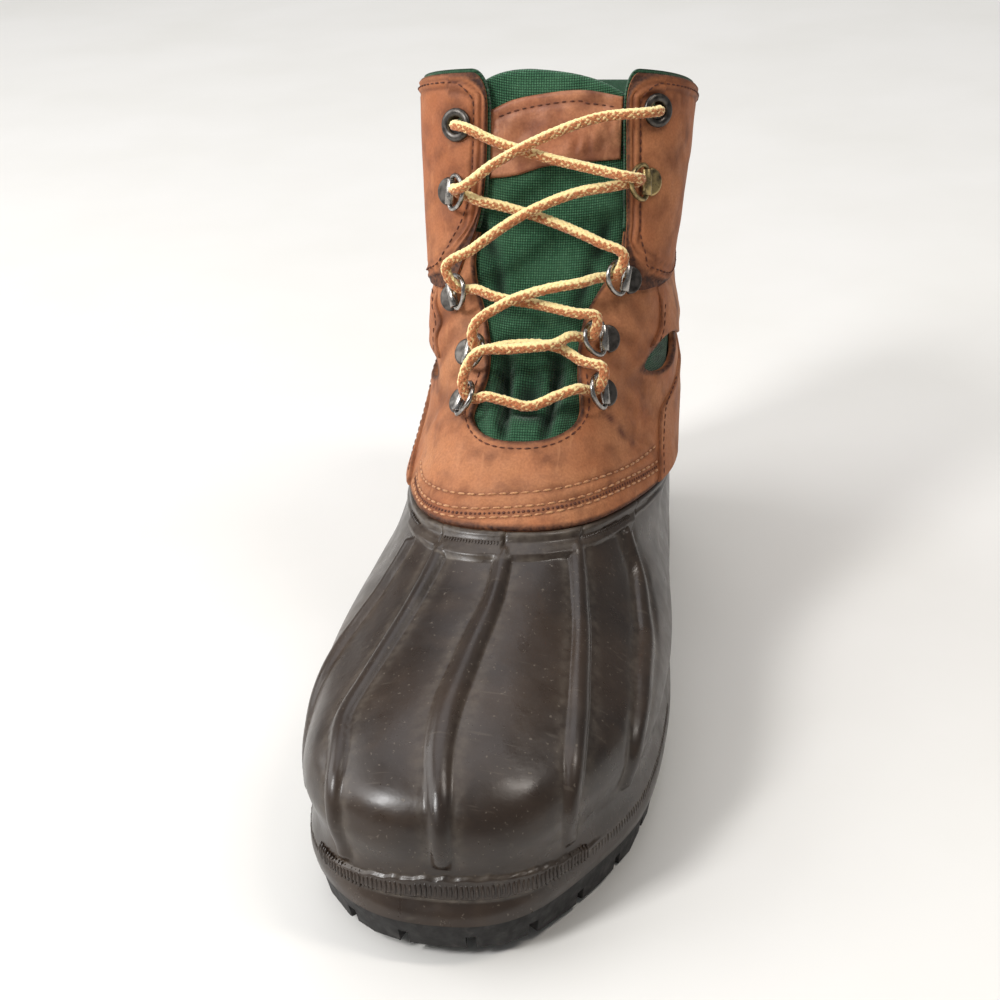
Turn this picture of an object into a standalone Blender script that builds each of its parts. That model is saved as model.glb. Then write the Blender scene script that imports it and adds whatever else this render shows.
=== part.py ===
"""Duck boot for the wearer's right foot: rubber bottom, leather upper, cloth tongue and lacing hardware.

Run with: blender --background --python part.py

Frame: metres, +Z up, toe toward -Y, medial (inner) side toward +X, standing on Z = 0.
Lengths below are in millimetres unless a name says otherwise.
The whole shell of the boot is one surface, skin(v, g, lift): v counts the levels of LEVELS upward from the
welt to the collar, g runs round the foot from the toe (0) by the medial side to the heel (1) and by the
lateral side back to the toe (2), and lift is the distance outside that surface.
"""

import math
from collections import namedtuple

import bmesh
import bpy
import numpy as np
from mathutils import Matrix, Vector

MM = 0.001

# Driving dimensions.
LENGTH = 300.0
BALL_WIDTH = 110.0
INSTEP_HEIGHT = 117.0
ORIGIN_BEHIND_TOE = 150.6
ORIGIN_X = -6.0

# Walls and gaps.
GAP = 0.35
SOFT_GAP = 1.0
RUBBER_WALL = 2.5
LEATHER_WALL = 2.0
CUFF_WALL = 1.6
GUSSET_WALL = 1.2
TONGUE_WALL = 3.2
INSOLE_WALL = 4.0
FLOOR_LEVEL = 0.5

# One row per level of the last, from the welt up to the collar. front and back are places behind the toe tip
# in percent of LENGTH; the four heights (toe end, ball, waist, heel end) are in percent of INSTEP_HEIGHT; the
# four widths are in percent of BALL_WIDTH; bend is how much of CENTRE_LINE's curve the level follows; front_n
# and back_n are the squareness of its two ends (2 is an ellipse).
Level = namedtuple(
    "Level",
    "name front back front_z ball_z waist_z heel_z toe_w ball_w waist_w heel_w bend front_n back_n",
)
LEVELS = (
    Level("welt", 0.7, 98.0, 12.3, 8.5, 10.7, 12.8, 105.5, 99.1, 80.0, 69.1, 1.0, 2.5, 3.2),
    Level("flange", 1.8, 98.7, 17.9, 14.5, 15.4, 17.9, 104.2, 98.2, 77.3, 70.0, 1.0, 2.7, 3.2),
    Level("flute", 2.3, 98.8, 25.5, 21.8, 22.9, 25.6, 98.2, 95.5, 73.6, 68.2, 1.0, 2.85, 3.2),
    Level("wall", 2.0, 99.7, 34.7, 32.1, 32.9, 37.6, 103.6, 100.0, 79.1, 70.9, 1.0, 2.8, 3.0),
    Level("shoulder", 4.2, 99.3, 43.6, 40.0, 41.5, 49.6, 97.8, 95.1, 78.2, 69.1, 1.0, 2.8, 2.9),
    Level("brow", 11.3, 98.7, 51.8, 46.2, 47.4, 58.1, 83.6, 87.3, 73.1, 67.3, 1.0, 2.6, 2.8),
    Level("vamp", 23.3, 97.7, 59.0, 52.1, 52.6, 65.8, 76.4, 80.9, 71.5, 65.5, 0.9, 2.6, 2.8),
    Level("rim", 34.3, 96.7, 67.5, 59.8, 57.3, 73.5, 74.5, 80.0, 70.9, 63.6, 0.7, 2.7, 2.8),
    Level("throat", 43.7, 96.0, 87.2, 77.8, 75.2, 92.3, 69.1, 77.3, 72.7, 61.8, 0.5, 2.7, 2.7),
    Level("instep", 49.8, 95.7, 100.0, 94.0, 92.3, 106.0, 70.9, 77.3, 70.2, 60.9, 0.45, 2.9, 2.6),
    Level("ankle", 55.7, 95.7, 118.8, 113.2, 112.0, 121.4, 81.8, 75.5, 67.8, 63.6, 0.4, 3.25, 2.6),
    Level("shaft", 60.3, 96.3, 144.4, 139.7, 137.2, 140.2, 86.4, 81.8, 73.6, 70.9, 0.3, 3.3, 2.6),
    Level("collar", 64.3, 97.3, 176.1, 164.0, 155.0, 151.0, 87.3, 86.7, 81.3, 80.0, 0.3, 3.5, 2.6),
)
TOP = float(len(LEVELS) - 1)
# Centre line of the foot seen from above: (mm behind the toe tip, mm toward the medial side).
CENTRE_LINE = ((0, -6.0), (25, -8.5), (60, -5.5), (100, -6.0), (150, -5.5), (200, -4.0), (300, -0.5))
# Where along a level its widths and heights are given, as a fraction of its length from the toe end.
WIDTH_AT = (0.0, 0.10, 0.36, 0.64, 0.90, 1.0)
HEIGHT_AT = (0.0, 0.36, 0.64, 1.0)
HALF_STEPS = 240

# Levels at which the pieces start and stop.
RUBBER_STEP = 6.9
RUBBER_TOP = 7.45
LEATHER_EDGE = 7.15
THROAT_BOTTOM = 8.0
CUFF_EDGE = 10.2
CUFF_FALL = 0.24
CUFF_FALL_LENGTH = 38.0
TONGUE_BOTTOM = 7.6
LAP_PROUD = 1.8
CORNER_RADIUS = 12.0
CORNER_DROP = 0.28

# Columns of points round the boot: their number, how much closer they stand at the toe and heel than at the
# sides, and where the columns that start at the throat's edge have joined the others.
ROUND = 40
END_CROWDING = 0.4
THROAT_REACH = 0.45

# Edge of the throat: level, then how far round the foot it lies on the medial and on the lateral side.
ThroatRow = namedtuple("ThroatRow", "level medial lateral")
THROAT = (
    ThroatRow(8.0, 0.0, 0.0),
    ThroatRow(8.02, 0.041, 0.034),
    ThroatRow(8.07, 0.067, 0.056),
    ThroatRow(8.15, 0.087, 0.073),
    ThroatRow(8.3, 0.103, 0.086),
    ThroatRow(8.6, 0.105, 0.080),
    ThroatRow(8.95, 0.098, 0.070),
    ThroatRow(9.4, 0.096, 0.075),
    ThroatRow(9.8, 0.108, 0.097),
    ThroatRow(10.05, 0.135, 0.117),
    ThroatRow(10.3, 0.170, 0.128),
    ThroatRow(10.6, 0.181, 0.121),
    ThroatRow(11.0, 0.180, 0.112),
    ThroatRow(12.0, 0.172, 0.105),
)

# Ankle windows, cut through the leather: centre and half sizes in levels and round the foot.
Window = namedtuple("Window", "side level level_half round_centre round_half")
WINDOWS = (
    Window("medial", 8.88, 0.26, 0.375, 0.085),
    Window("lateral", 8.75, 0.26, 1.655, 0.085),
)
WINDOW_SIDES = 16

# Sole.
TREAD_DEPTH = 4.5
GROOVE_WIDTH = 3.0
LUG_PITCH = 20.5
EDGE_GROOVE_LENGTH = 14.0
SOLE_INSET_TOP = 0.6
SOLE_INSET_BOTTOM = 2.6
ARCH_FROM, ARCH_TO, ARCH_RISE = 158.0, 206.0, 4.0
CENTRE_GROOVES = (34.0, 54.5, 75.0, 112.0, 132.5, 225.0, 261.0)
# Height of the tread above the floor along the sole: (mm behind the toe tip, mm).
TREAD_LINE = ((0, 5.0), (12, 3.6), (26, 2.2), (44, 0.9), (62, 0.0), (280, 0.0), (300, 1.5))

# Lacing hardware.
EYELET_LEVELS = {"medial": 11.66, "lateral": 11.54}
EYELET_FROM_EDGE = 10.5
EYELET_HOLE, EYELET_BARREL, EYELET_BORE, EYELET_RIM = 3.85, 3.45, 2.9, 4.9
BAR_RADIUS, BAR_BORE, BAR_LENGTH = 1.6, 1.15, 8.4
PLATE_START, PLATE_THICK, PLATE_RADIUS, PLATE_REACH = 1.2, 0.8, 4.6, 2.0
RING_WIRE, RING_HALF, RING_REACH, RING_TILT = 0.8, 5.7, 8.9, 28.0
RING_CORNER = 0.7
# D-rings, counted down from the eyelets: the level of the bar's middle, its distance from the throat's edge,
# lean, which tips the bar's top away from the throat, in degrees, the way the lace comes over the ring, and how
# many mm up the ring it leaves under the bow.
RingPlace = namedtuple("RingPlace", "side number level from_edge lean over leaves")
RING_PLACES = (
    RingPlace("medial", 2, 11.05, 5.7, -1.0, "bow", -1.0),
    RingPlace("medial", 3, 10.12, 5.4, 8.0, "top", -2.0),
    RingPlace("medial", 4, 9.44, 7.3, -6.0, "top", 0.6),
    RingPlace("medial", 5, 8.66, 7.4, -12.0, "top", 0.8),
    RingPlace("lateral", 2, 10.96, 10.5, -4.0, "bow", -1.6),
    RingPlace("lateral", 3, 9.91, 8.5, 22.0, "top", -2.6),
    RingPlace("lateral", 4, 9.24, 6.4, -6.0, "top", 2.0),
    RingPlace("lateral", 5, 8.5, 4.2, -12.0, "top", 1.6),
)

# Lace: a round cord. Each strand runs between two anchors, and its bends say where it leaves the straight line
# between them: (part of the way, mm away from the tongue, mm up the shaft).
LACE_RADIUS = 1.8
LACE_AWAY = Vector((0.0, -0.7, 0.714))
LACE_UP = Vector((0.0, 0.68, 0.733))
Strand = namedtuple("Strand", "start end bends")
LACE_ROUTE = (
    Strand("lateral_1", "medial_2", ((0.19, 0.2, -1.8), (0.49, -0.6, -1.8), (0.78, 0.4, -1.3))),
    Strand("medial_2", "lateral_3", ((0.2, 3.8, 2.0), (0.53, 5.4, 3.1), (0.83, 3.8, 0.6))),
    Strand("lateral_3", "medial_4", ((0.13, 0.6, -1.2), (0.52, 0.0, -0.4), (0.85, 0.8, -0.7))),
    Strand("medial_4", "lateral_5", ((0.14, 4.3, -2.5), (0.54, 4.6, 0.9), (0.87, 3.8, 4.3))),
    Strand("lateral_5", "medial_5", ((0.17, 0.6, -1.7), (0.49, 0.8, -4.9), (0.81, 0.6, -1.7))),
    Strand("medial_5", "lateral_4", ((0.2, -0.6, 1.4), (0.42, -0.8, 4.4), (0.81, 0.0, 2.4))),
    Strand("lateral_4", "medial_3", ((0.24, 3.4, 2.5), (0.6, 4.8, 1.0), (0.92, 3.2, -1.3))),
    Strand("medial_3", "lateral_2", ((0.17, 0.6, 1.3), (0.49, 0.0, 2.4), (0.8, 0.6, 1.1))),
    Strand("lateral_2", "medial_1", ((0.2, 4.2, 1.3), (0.44, 5.6, 2.8), (0.74, 3.6, 3.2))),
)
TURNING_ANCHOR = "lateral_5"
LONGEST_LACE_STEP = 8.0
# How the lace enters an eyelet and stops in it, in the eyelet's own axes.
EYELET_PASS = ((-4.6, -0.6, 4.4), (-1.2, -0.2, 3.2), (0.0, 0.0, 0.4), (0.0, 0.0, -3.4))
# How the lace comes over a D-ring, by its top or by its bow, and how it goes down through the ring and leaves
# under the bow, all in the ring's own axes. The middle value of LACE_UNDER is a share of the place's leaves.
LACE_OVER = {
    "top": ((-7.5, 6.0, 4.2), (-6.6, 2.7, 3.0)),
    "bow": ((-11.4, 1.4, 3.1), (-8.6, 1.2, 3.2), (-6.5, 0.8, 1.9)),
}
LACE_UNDER = ((-6.0, 0.1, -0.2), (-7.2, 0.45, -2.9), (-10.4, 1.0, -3.9))

# Finish of each piece: base colour, roughness, metallic.
Finish = namedtuple("Finish", "colour roughness metallic")
FINISHES = {
    "sole rubber": Finish((0.012, 0.012, 0.013), 0.75, 0.0),
    "brown rubber": Finish((0.045, 0.030, 0.025), 0.35, 0.0),
    "leather": Finish((0.36, 0.15, 0.06), 0.65, 0.0),
    "cuff leather": Finish((0.30, 0.11, 0.045), 0.6, 0.0),
    "green cloth": Finish((0.01, 0.06, 0.035), 0.9, 0.0),
    "footbed": Finish((0.05, 0.05, 0.045), 0.95, 0.0),
    "gunmetal": Finish((0.12, 0.12, 0.125), 0.3, 1.0),
    "lace": Finish((0.75, 0.50, 0.18), 0.9, 0.0),
}


# ---------------------------------------------------------------- the last


def smooth_through(places, values, at):
    """Cubic curve through values given at rising places, read at one or many points."""
    places = np.asarray(places, float)
    values = np.asarray(values, float)
    at = np.clip(np.asarray(at, float), places[0], places[-1])
    slopes = np.gradient(values, places, axis=0)
    i = np.clip(np.searchsorted(places, at, side="right") - 1, 0, len(places) - 2)
    step = places[i + 1] - places[i]
    t = (at - places[i]) / step
    if values.ndim > 1:
        step = step[..., None]
        t = t[..., None]
    start = values[i] * (2 * t**3 - 3 * t**2 + 1) + slopes[i] * step * (t**3 - 2 * t**2 + t)
    return start + values[i + 1] * (3 * t**2 - 2 * t**3) + slopes[i + 1] * step * (t**3 - t**2)


EVEN_PLACES = np.arange(ROUND) * 2.0 / ROUND
ROUND_PLACES = EVEN_PLACES - END_CROWDING * np.sin(2.0 * math.pi * EVEN_PLACES) / (2.0 * math.pi)
LEVEL_VALUES = np.array([row[1:] for row in LEVELS], float)
LEVEL_SCALE = np.array([LENGTH] * 2 + [INSTEP_HEIGHT] * 4 + [BALL_WIDTH / 2] * 4 + [100.0] * 3) / 100.0


def centre_line(behind_toe):
    """Sideways place of the foot's centre line at a distance behind the toe tip."""
    places, sideways = zip(*CENTRE_LINE)
    return smooth_through(places, sideways, behind_toe)


def half_section(v, side):
    """Points from toe to heel along one side of level v, and their running length; side is +1 medial."""
    level = Level("", *(smooth_through(range(len(LEVELS)), LEVEL_VALUES, v) * LEVEL_SCALE))
    turn = np.linspace(0.0, math.pi, HALF_STEPS + 1)
    power = 2.0 / np.where(np.cos(turn) >= 0, level.front_n, level.back_n)
    along = (1.0 - np.sign(np.cos(turn)) * np.abs(np.cos(turn)) ** power) / 2.0
    fullness = np.abs(np.sin(turn)) ** power
    widths = (level.toe_w, level.toe_w, level.ball_w, level.waist_w, level.heel_w, level.heel_w)
    heights = (level.front_z, level.ball_z, level.waist_z, level.heel_z)
    behind_toe = level.front + (level.back - level.front) * along
    across = side * smooth_through(WIDTH_AT, widths, along) * fullness + level.bend * centre_line(behind_toe)
    points = np.stack([across, behind_toe, smooth_through(HEIGHT_AT, heights, along)], axis=1)
    steps = np.linalg.norm(np.diff(points, axis=0), axis=1)
    return points, np.concatenate([[0.0], np.cumsum(steps)])


def level_points(v, g):
    """Points of level v at the places g round the foot, in mm from the toe tip."""
    g = np.mod(np.asarray(g, float), 2.0)
    points = np.zeros(g.shape + (3,))
    for side, here, fraction in ((1, g <= 1.0, g), (-1, g > 1.0, 2.0 - g)):
        if here.any():
            half, length = half_section(v, side)
            at = fraction[here] * length[-1]
            points[here] = np.stack([np.interp(at, length, half[:, k]) for k in range(3)], axis=1)
    return points


def skin_row(v, g, lift):
    """Points lifted off the last along its outward normal, in mm from the toe tip."""
    below, above = max(v - 0.02, 0.0), min(v + 0.02, TOP)
    up = level_points(above, g) - level_points(below, g)
    round_foot = level_points(v, g + 0.004) - level_points(v, g - 0.004)
    normal = np.cross(round_foot, up)
    normal /= np.linalg.norm(normal, axis=-1, keepdims=True)
    return level_points(v, g) + normal * np.broadcast_to(np.asarray(lift, float)[..., None], normal.shape)


def to_frame(points):
    """Moves points from mm behind the toe tip to metres in the part's frame."""
    points = np.asarray(points, float)
    return (points - np.array([ORIGIN_X, ORIGIN_BEHIND_TOE, 0.0])) * MM


def skin(v, g, lift):
    """Points of the boot's surface in metres; v, g and lift are arrays of one shape or single numbers."""
    v, g, lift = np.broadcast_arrays(*(np.asarray(a, float) for a in (v, g, lift)))
    rows = [skin_row(a, np.atleast_1d(b), np.atleast_1d(c)) for a, b, c in zip(v.ravel(), g.ravel(), lift.ravel())]
    return to_frame(np.concatenate(rows)).reshape(v.shape + (3,))


def throat_edge(v, side):
    """How far round the foot the throat's edge lies at level v; side is +1 medial, -1 lateral."""
    column = "medial" if side > 0 else "lateral"
    return np.interp(v, [row.level for row in THROAT], [getattr(row, column) for row in THROAT])


def column_places(edge):
    """Places round the foot of one side's columns, from the throat's edge to the heel."""
    half = ROUND_PLACES[: ROUND // 2 + 1]
    return half + edge * np.clip(1.0 - half / THROAT_REACH, 0.0, 1.0)


def half_length(v, side):
    """Length in mm from the toe end to the heel end of level v, along one side."""
    return half_section(v, side)[1][-1]


def cuff_fall(v, distance):
    """How far the rows near the cuff's lower edge drop, at a distance in mm from the throat's edge."""
    share = np.interp(v, (9.3, 9.9, CUFF_EDGE, 11.2), (0.0, 1.0, 1.0, 0.0))
    along = np.clip(distance / CUFF_FALL_LENGTH, 0.0, 1.0)
    return CUFF_FALL * share * (3.0 * along**2 - 2.0 * along**3)


def leather_lift(v):
    """Lift of the leather's outer face: proud where it laps the rubber, sunk under the cuff."""
    lap = LAP_PROUD * np.clip((THROAT_BOTTOM - v) / (THROAT_BOTTOM - LEATHER_EDGE), 0.0, 1.0)
    under_cuff = np.clip((v - CUFF_EDGE + 0.2) / 0.17, 0.0, 1.0)
    return lap - (CUFF_WALL + GAP) * under_cuff


# ---------------------------------------------------------------- mesh helpers


def collection(name):
    """A new collection linked to the scene."""
    made = bpy.data.collections.new(name)
    bpy.context.scene.collection.children.link(made)
    return made


def material(name):
    """Principled material for one finish, made once."""
    found = bpy.data.materials.get(name)
    if found:
        return found
    finish = FINISHES[name]
    made = bpy.data.materials.new(name)
    made.use_nodes = True
    shader = made.node_tree.nodes["Principled BSDF"]
    shader.inputs["Base Color"].default_value = (*finish.colour, 1.0)
    shader.inputs["Roughness"].default_value = finish.roughness
    shader.inputs["Metallic"].default_value = finish.metallic
    return made


def add_object(name, mesh, finish, where):
    """Object for a mesh, shaded smooth up to a 40 degree edge."""
    made = bpy.data.objects.new(name, mesh)
    where.objects.link(made)
    mesh.materials.append(material(finish))
    mesh.shade_smooth()
    mesh.set_sharp_from_angle(angle=math.radians(40))
    return made


def mesh_from(name, points, faces):
    """Mesh with its faces turned outward."""
    built = bmesh.new()
    verts = [built.verts.new(p) for p in points]
    for face in faces:
        built.faces.new([verts[i] for i in face])
    bmesh.ops.remove_doubles(built, verts=built.verts, dist=1e-6)
    bmesh.ops.recalc_face_normals(built, faces=built.faces)
    mesh = bpy.data.meshes.new(name)
    built.to_mesh(mesh)
    built.free()
    return mesh


def thicken(name, outer, inner, faces):
    """Closed solid between two copies of one open surface, joined along its border."""
    count = len(outer)
    sides = {}
    for face in faces:
        for a, b in zip(face, face[1:] + face[:1]):
            sides[(a, b)] = True
    border = [(a, b) for a, b in sides if (b, a) not in sides]
    back = [tuple(i + count for i in reversed(face)) for face in faces]
    walls = [(b, a, a + count, b + count) for a, b in border]
    return mesh_from(name, list(outer) + list(inner), list(faces) + back + walls)


def grid_faces(rows, columns, closed=False):
    """Triangles of a grid of points laid out row by row, all split the same way."""
    last = columns if closed else columns - 1
    faces = []
    for i in range(rows - 1):
        for j in range(last):
            k = (j + 1) % columns
            here, ahead = i * columns + j, i * columns + k
            faces.append((here, ahead, ahead + columns))
            faces.append((here, ahead + columns, here + columns))
    return faces


def ladder(ring, across):
    """Fills a ring that starts at the toe end: points of its rungs, and the faces of ring plus rungs."""
    count = len(ring)
    rungs = range(1, count // 2)
    inside = []
    names = {}
    for i in rungs:
        names[i, 0] = i
        names[i, across] = count - i
        for j in range(1, across):
            names[i, j] = count + len(inside)
            inside.append(ring[i] + (ring[count - i] - ring[i]) * (j / across))
    faces = [(0, names[1, j + 1], names[1, j]) for j in range(across)]
    for i in rungs[:-1]:
        for j in range(across):
            faces.append((names[i, j], names[i, j + 1], names[i + 1, j + 1]))
            faces.append((names[i, j], names[i + 1, j + 1], names[i + 1, j]))
    end = rungs[-1]
    faces += [(names[end, j], names[end, j + 1], count // 2) for j in range(across)]
    return np.array(inside), faces


def turned(points, inset):
    """Ring of points moved sideways toward its inside by inset mm, keeping their heights."""
    ahead = np.roll(points, -1, axis=0) - np.roll(points, 1, axis=0)
    outward = np.stack([ahead[:, 1], -ahead[:, 0], np.zeros(len(points))], axis=1)
    outward /= np.linalg.norm(outward, axis=1, keepdims=True)
    centre = points.mean(axis=0)
    facing = np.sign(((points - centre) * outward).sum())
    return points - outward * facing * inset


def cutter(name, points, faces, where):
    """Closed mesh used only to cut others."""
    made = bpy.data.objects.new(name, mesh_from(name, points, faces))
    where.objects.link(made)
    made.hide_render = True
    made.display_type = "WIRE"
    return made


def cut(target, tool):
    """Cuts a tool out of a piece."""
    modifier = target.modifiers.new("cut " + tool.name, "BOOLEAN")
    modifier.operation = "DIFFERENCE"
    modifier.solver = "EXACT"
    modifier.object = tool


def box_points(size, matrix):
    """Corners and faces of a box of the given size, placed by a matrix."""
    built = bmesh.new()
    bmesh.ops.create_cube(built, size=1.0, matrix=matrix @ Matrix.Diagonal((*size, 1.0)))
    points = [tuple(v.co) for v in built.verts]
    faces = [tuple(v.index for v in face.verts) for face in built.faces]
    built.free()
    return points, faces


# ---------------------------------------------------------------- sole, bottom and footbed



def build_outsole(parts, cutters):
    """Lugged rubber sole under the moulded bottom."""
    welt = level_points(0.0, ROUND_PLACES)
    top = turned(welt, SOLE_INSET_TOP)
    top[:, 2] -= GAP
    bottom = turned(welt, SOLE_INSET_BOTTOM)
    places, heights = zip(*TREAD_LINE)
    bottom[:, 2] = np.interp(bottom[:, 1], places, heights)
    top_inside, faces = ladder(top, 4)
    bottom_inside, _ = ladder(bottom, 4)
    outer = to_frame(np.concatenate([top, top_inside]))
    inner = to_frame(np.concatenate([bottom, bottom_inside]))
    sole = add_object("outsole", thicken("outsole", outer, inner, faces), "sole rubber", parts)
    cut(sole, arch_cutter(cutters))
    cut(sole, groove_cutter(cutters))
    return sole


def arch_cutter(where):
    """Wedge-sided block that lifts the waist off the floor and leaves the heel's breast."""
    middle, length = (ARCH_FROM + ARCH_TO) / 2, ARCH_TO - ARCH_FROM
    x, y, _ = to_frame([ORIGIN_X, middle, 0.0])
    points, faces = box_points((0.2, length * MM, 0.02), Matrix.Translation((x, y, 0.0)))
    lean = {True: 0.62, False: 1.0}
    raised = []
    for px, py, pz in points:
        high = pz > 0
        raised.append((px, y + (py - y) * lean[high], ARCH_RISE * MM if high else -0.01))
    return cutter("arch", raised, faces, where)


def groove_cutter(where):
    """Grooves between the lugs: short ones round the edge, long ones across the middle."""
    points, faces = [], []

    def add(size, matrix):
        new_points, new_faces = box_points(size, matrix)
        faces.extend(tuple(i + len(points) for i in face) for face in new_faces)
        points.extend(new_points)

    depth = 2 * TREAD_DEPTH * MM
    for side in (1, -1):
        length = half_length(0.0, side)
        for k in range(int(length / LUG_PITCH)):
            g = side * (k + 0.5) * LUG_PITCH / length
            here, ahead = level_points(0.0, np.array([g, g + 0.004]))
            behind_toe = here[1]
            if ARCH_FROM - 8 < behind_toe < ARCH_TO + 4 or behind_toe > 284:
                continue
            along = Vector(ahead - here).to_2d().normalized()
            inward = Vector((-along.y, along.x))
            if inward.dot(Vector((ORIGIN_X - here[0], 120.0 - here[1]))) < 0:
                inward = -inward
            middle = Vector(here[:2]) + inward * (EDGE_GROOVE_LENGTH / 2 - 3.0)
            x, y, _ = to_frame([middle.x, middle.y, 0.0])
            turn = Matrix.Rotation(math.atan2(inward.y, inward.x), 4, "Z")
            size = ((EDGE_GROOVE_LENGTH + 6) * MM, GROOVE_WIDTH * MM, depth)
            lift = np.interp(behind_toe, *zip(*TREAD_LINE)) * MM
            add(size, Matrix.Translation((x, y, lift)) @ turn)
    for behind_toe in CENTRE_GROOVES:
        x, y, _ = to_frame([float(centre_line(behind_toe)), behind_toe, 0.0])
        width = 34.0 if behind_toe > ARCH_TO or behind_toe < 40 else 50.0
        lift = np.interp(behind_toe, *zip(*TREAD_LINE)) * MM
        add((width * MM, GROOVE_WIDTH * MM, depth), Matrix.Translation((x, y, lift)))
    return cutter("grooves", points, faces, where)


def build_rubber_bottom(parts):
    """Moulded rubber tub: floor, welt flange, boxy toe and a rim that the leather laps over."""
    rows = (0.0, 1.0, 2.0, 3.0, 4.0, 5.0, 6.0, RUBBER_STEP, LEATHER_EDGE, RUBBER_TOP)
    outer_rows, inner_rows = [], []
    for v in rows:
        lift = 0.0 if v <= RUBBER_STEP else float(leather_lift(v)) - LEATHER_WALL - GAP
        outer_rows.append(skin_row(v, ROUND_PLACES, np.full(ROUND, lift)))
        inside = FLOOR_LEVEL + v * (RUBBER_TOP - FLOOR_LEVEL) / RUBBER_TOP
        inner_rows.append(skin_row(inside, ROUND_PLACES, np.full(ROUND, lift - RUBBER_WALL)))
    inner_rows[0][:, 2] = level_points(FLOOR_LEVEL, ROUND_PLACES)[:, 2]
    outer_floor, faces = ladder(outer_rows[0], 4)
    inner_floor, _ = ladder(inner_rows[0], 4)
    walls = grid_faces(len(rows), ROUND, closed=True)
    extra = len(rows) * ROUND - ROUND
    floor = [tuple(i if i < ROUND else i + extra for i in face) for face in faces]
    outer = to_frame(np.concatenate(outer_rows + [outer_floor]))
    inner = to_frame(np.concatenate(inner_rows + [inner_floor]))
    mesh = thicken("rubber_bottom", outer, inner, walls + floor)
    return add_object("rubber_bottom", mesh, "brown rubber", parts)


def build_insole(parts):
    """Loose footbed on the tub's floor."""
    inset = RUBBER_WALL + 1.2
    ring = skin_row(1.0, ROUND_PLACES, np.full(ROUND, -inset))
    floor = level_points(FLOOR_LEVEL, ROUND_PLACES)
    bottom, top = ring.copy(), ring.copy()
    bottom[:, 2] = floor[:, 2] + GAP
    top[:, 2] = bottom[:, 2] + INSOLE_WALL
    top_inside, faces = ladder(top, 4)
    bottom_inside, _ = ladder(bottom, 4)
    outer = to_frame(np.concatenate([top, top_inside]))
    inner = to_frame(np.concatenate([bottom, bottom_inside]))
    return add_object("insole", thicken("insole", outer, inner, faces), "footbed", parts)


# ---------------------------------------------------------------- upper, cuff, tongue, gussets


def corner_drop(v, distance):
    """Lowers the top rows near the throat's edge, which rounds the flaps' top corners."""
    near = np.clip(1.0 - distance / CORNER_RADIUS, 0.0, 1.0)
    share = np.clip(v - (TOP - 1.0), 0.0, 1.0)
    return CORNER_DROP * (1.0 - np.sqrt(1.0 - near**2)) * share


def shaft_grid(rows, lift):
    """Rows of points from one edge of the throat round the heel to the other, and the faces between them.

    Levels under the throat close on themselves, because both their edges lie at the toe end.
    """
    lines = []
    for v in rows:
        sides = []
        for side in (1, -1):
            edge = float(throat_edge(v, side))
            g = column_places(edge)
            distance = (g - edge) * half_length(v, side)
            level = v - corner_drop(v, distance) - cuff_fall(v, distance)
            around = g if side > 0 else 2.0 - g
            sides.append(skin(level, around, lift(v)))
        lines.append(np.concatenate([sides[0], sides[1][::-1][1:]]))
    return np.concatenate(lines), grid_faces(len(rows), ROUND + 1)


CUFF_ROWS = (CUFF_EDGE, 10.7, 11.3, TOP)
UPPER_ROWS = (LEATHER_EDGE, RUBBER_TOP, 7.7, THROAT_BOTTOM, 8.01, 8.04, 8.15, 8.4, 8.8, 9.3, 9.75)
UPPER_ROWS += (CUFF_EDGE - 0.2, CUFF_EDGE - 0.03) + CUFF_ROWS


def build_upper(parts, cutters):
    """Hollow leather upper: vamp and quarters in one wall, lapped over the rubber at its foot."""
    outer, faces = shaft_grid(UPPER_ROWS, leather_lift)
    inner, _ = shaft_grid(UPPER_ROWS, lambda v: leather_lift(v) - LEATHER_WALL)
    # Below the throat the first and last columns are the same line, so they become one.
    closed = {}
    for i, v in enumerate(UPPER_ROWS):
        if v <= THROAT_BOTTOM:
            closed[i * (ROUND + 1) + ROUND] = i * (ROUND + 1)
    faces = [tuple(closed.get(i, i) for i in face) for face in faces]
    upper = add_object("leather_upper", thicken("leather_upper", outer, inner, faces), "leather", parts)
    for window in WINDOWS:
        cut(upper, window_cutter(window, cutters))
    return upper


def window_cutter(window, where):
    """Leaf-shaped plug through the leather, pointed toward the toe."""
    turn = np.arange(WINDOW_SIDES) * 2.0 * math.pi / WINDOW_SIDES
    toe_side = -1.0 if window.side == "medial" else 1.0
    point = 1.0 + 0.25 * np.maximum(np.cos(turn), 0.0) ** 4
    g = window.round_centre + toe_side * window.round_half * np.cos(turn) * point
    v = window.level + window.level_half * np.sin(turn)
    rings = [skin(v, g, lift) for lift in (5.0, -7.0)]
    faces = grid_faces(2, WINDOW_SIDES, closed=True)
    faces.append(tuple(range(WINDOW_SIDES)))
    faces.append(tuple(range(2 * WINDOW_SIDES - 1, WINDOW_SIDES - 1, -1)))
    return cutter("window " + window.side, np.concatenate(rings), faces, where)


def build_gussets(parts):
    """Green cloth behind each ankle window."""
    made = []
    for window in WINDOWS:
        levels = np.linspace(window.level - 0.42, window.level + 0.42, 5)
        around = np.linspace(window.round_centre - 0.125, window.round_centre + 0.125, 6)
        v, g = np.meshgrid(levels, around, indexing="ij")
        top = leather_lift(levels)[:, None] - LEATHER_WALL - 2.0 * GAP
        outer = skin(v, g, top + 0 * g).reshape(-1, 3)
        inner = skin(v, g, top - GUSSET_WALL + 0 * g).reshape(-1, 3)
        name = "ankle_gusset_" + window.side
        mesh = thicken(name, outer, inner, grid_faces(len(levels), len(around)))
        made.append(add_object(name, mesh, "green cloth", parts))
    return made


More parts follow.
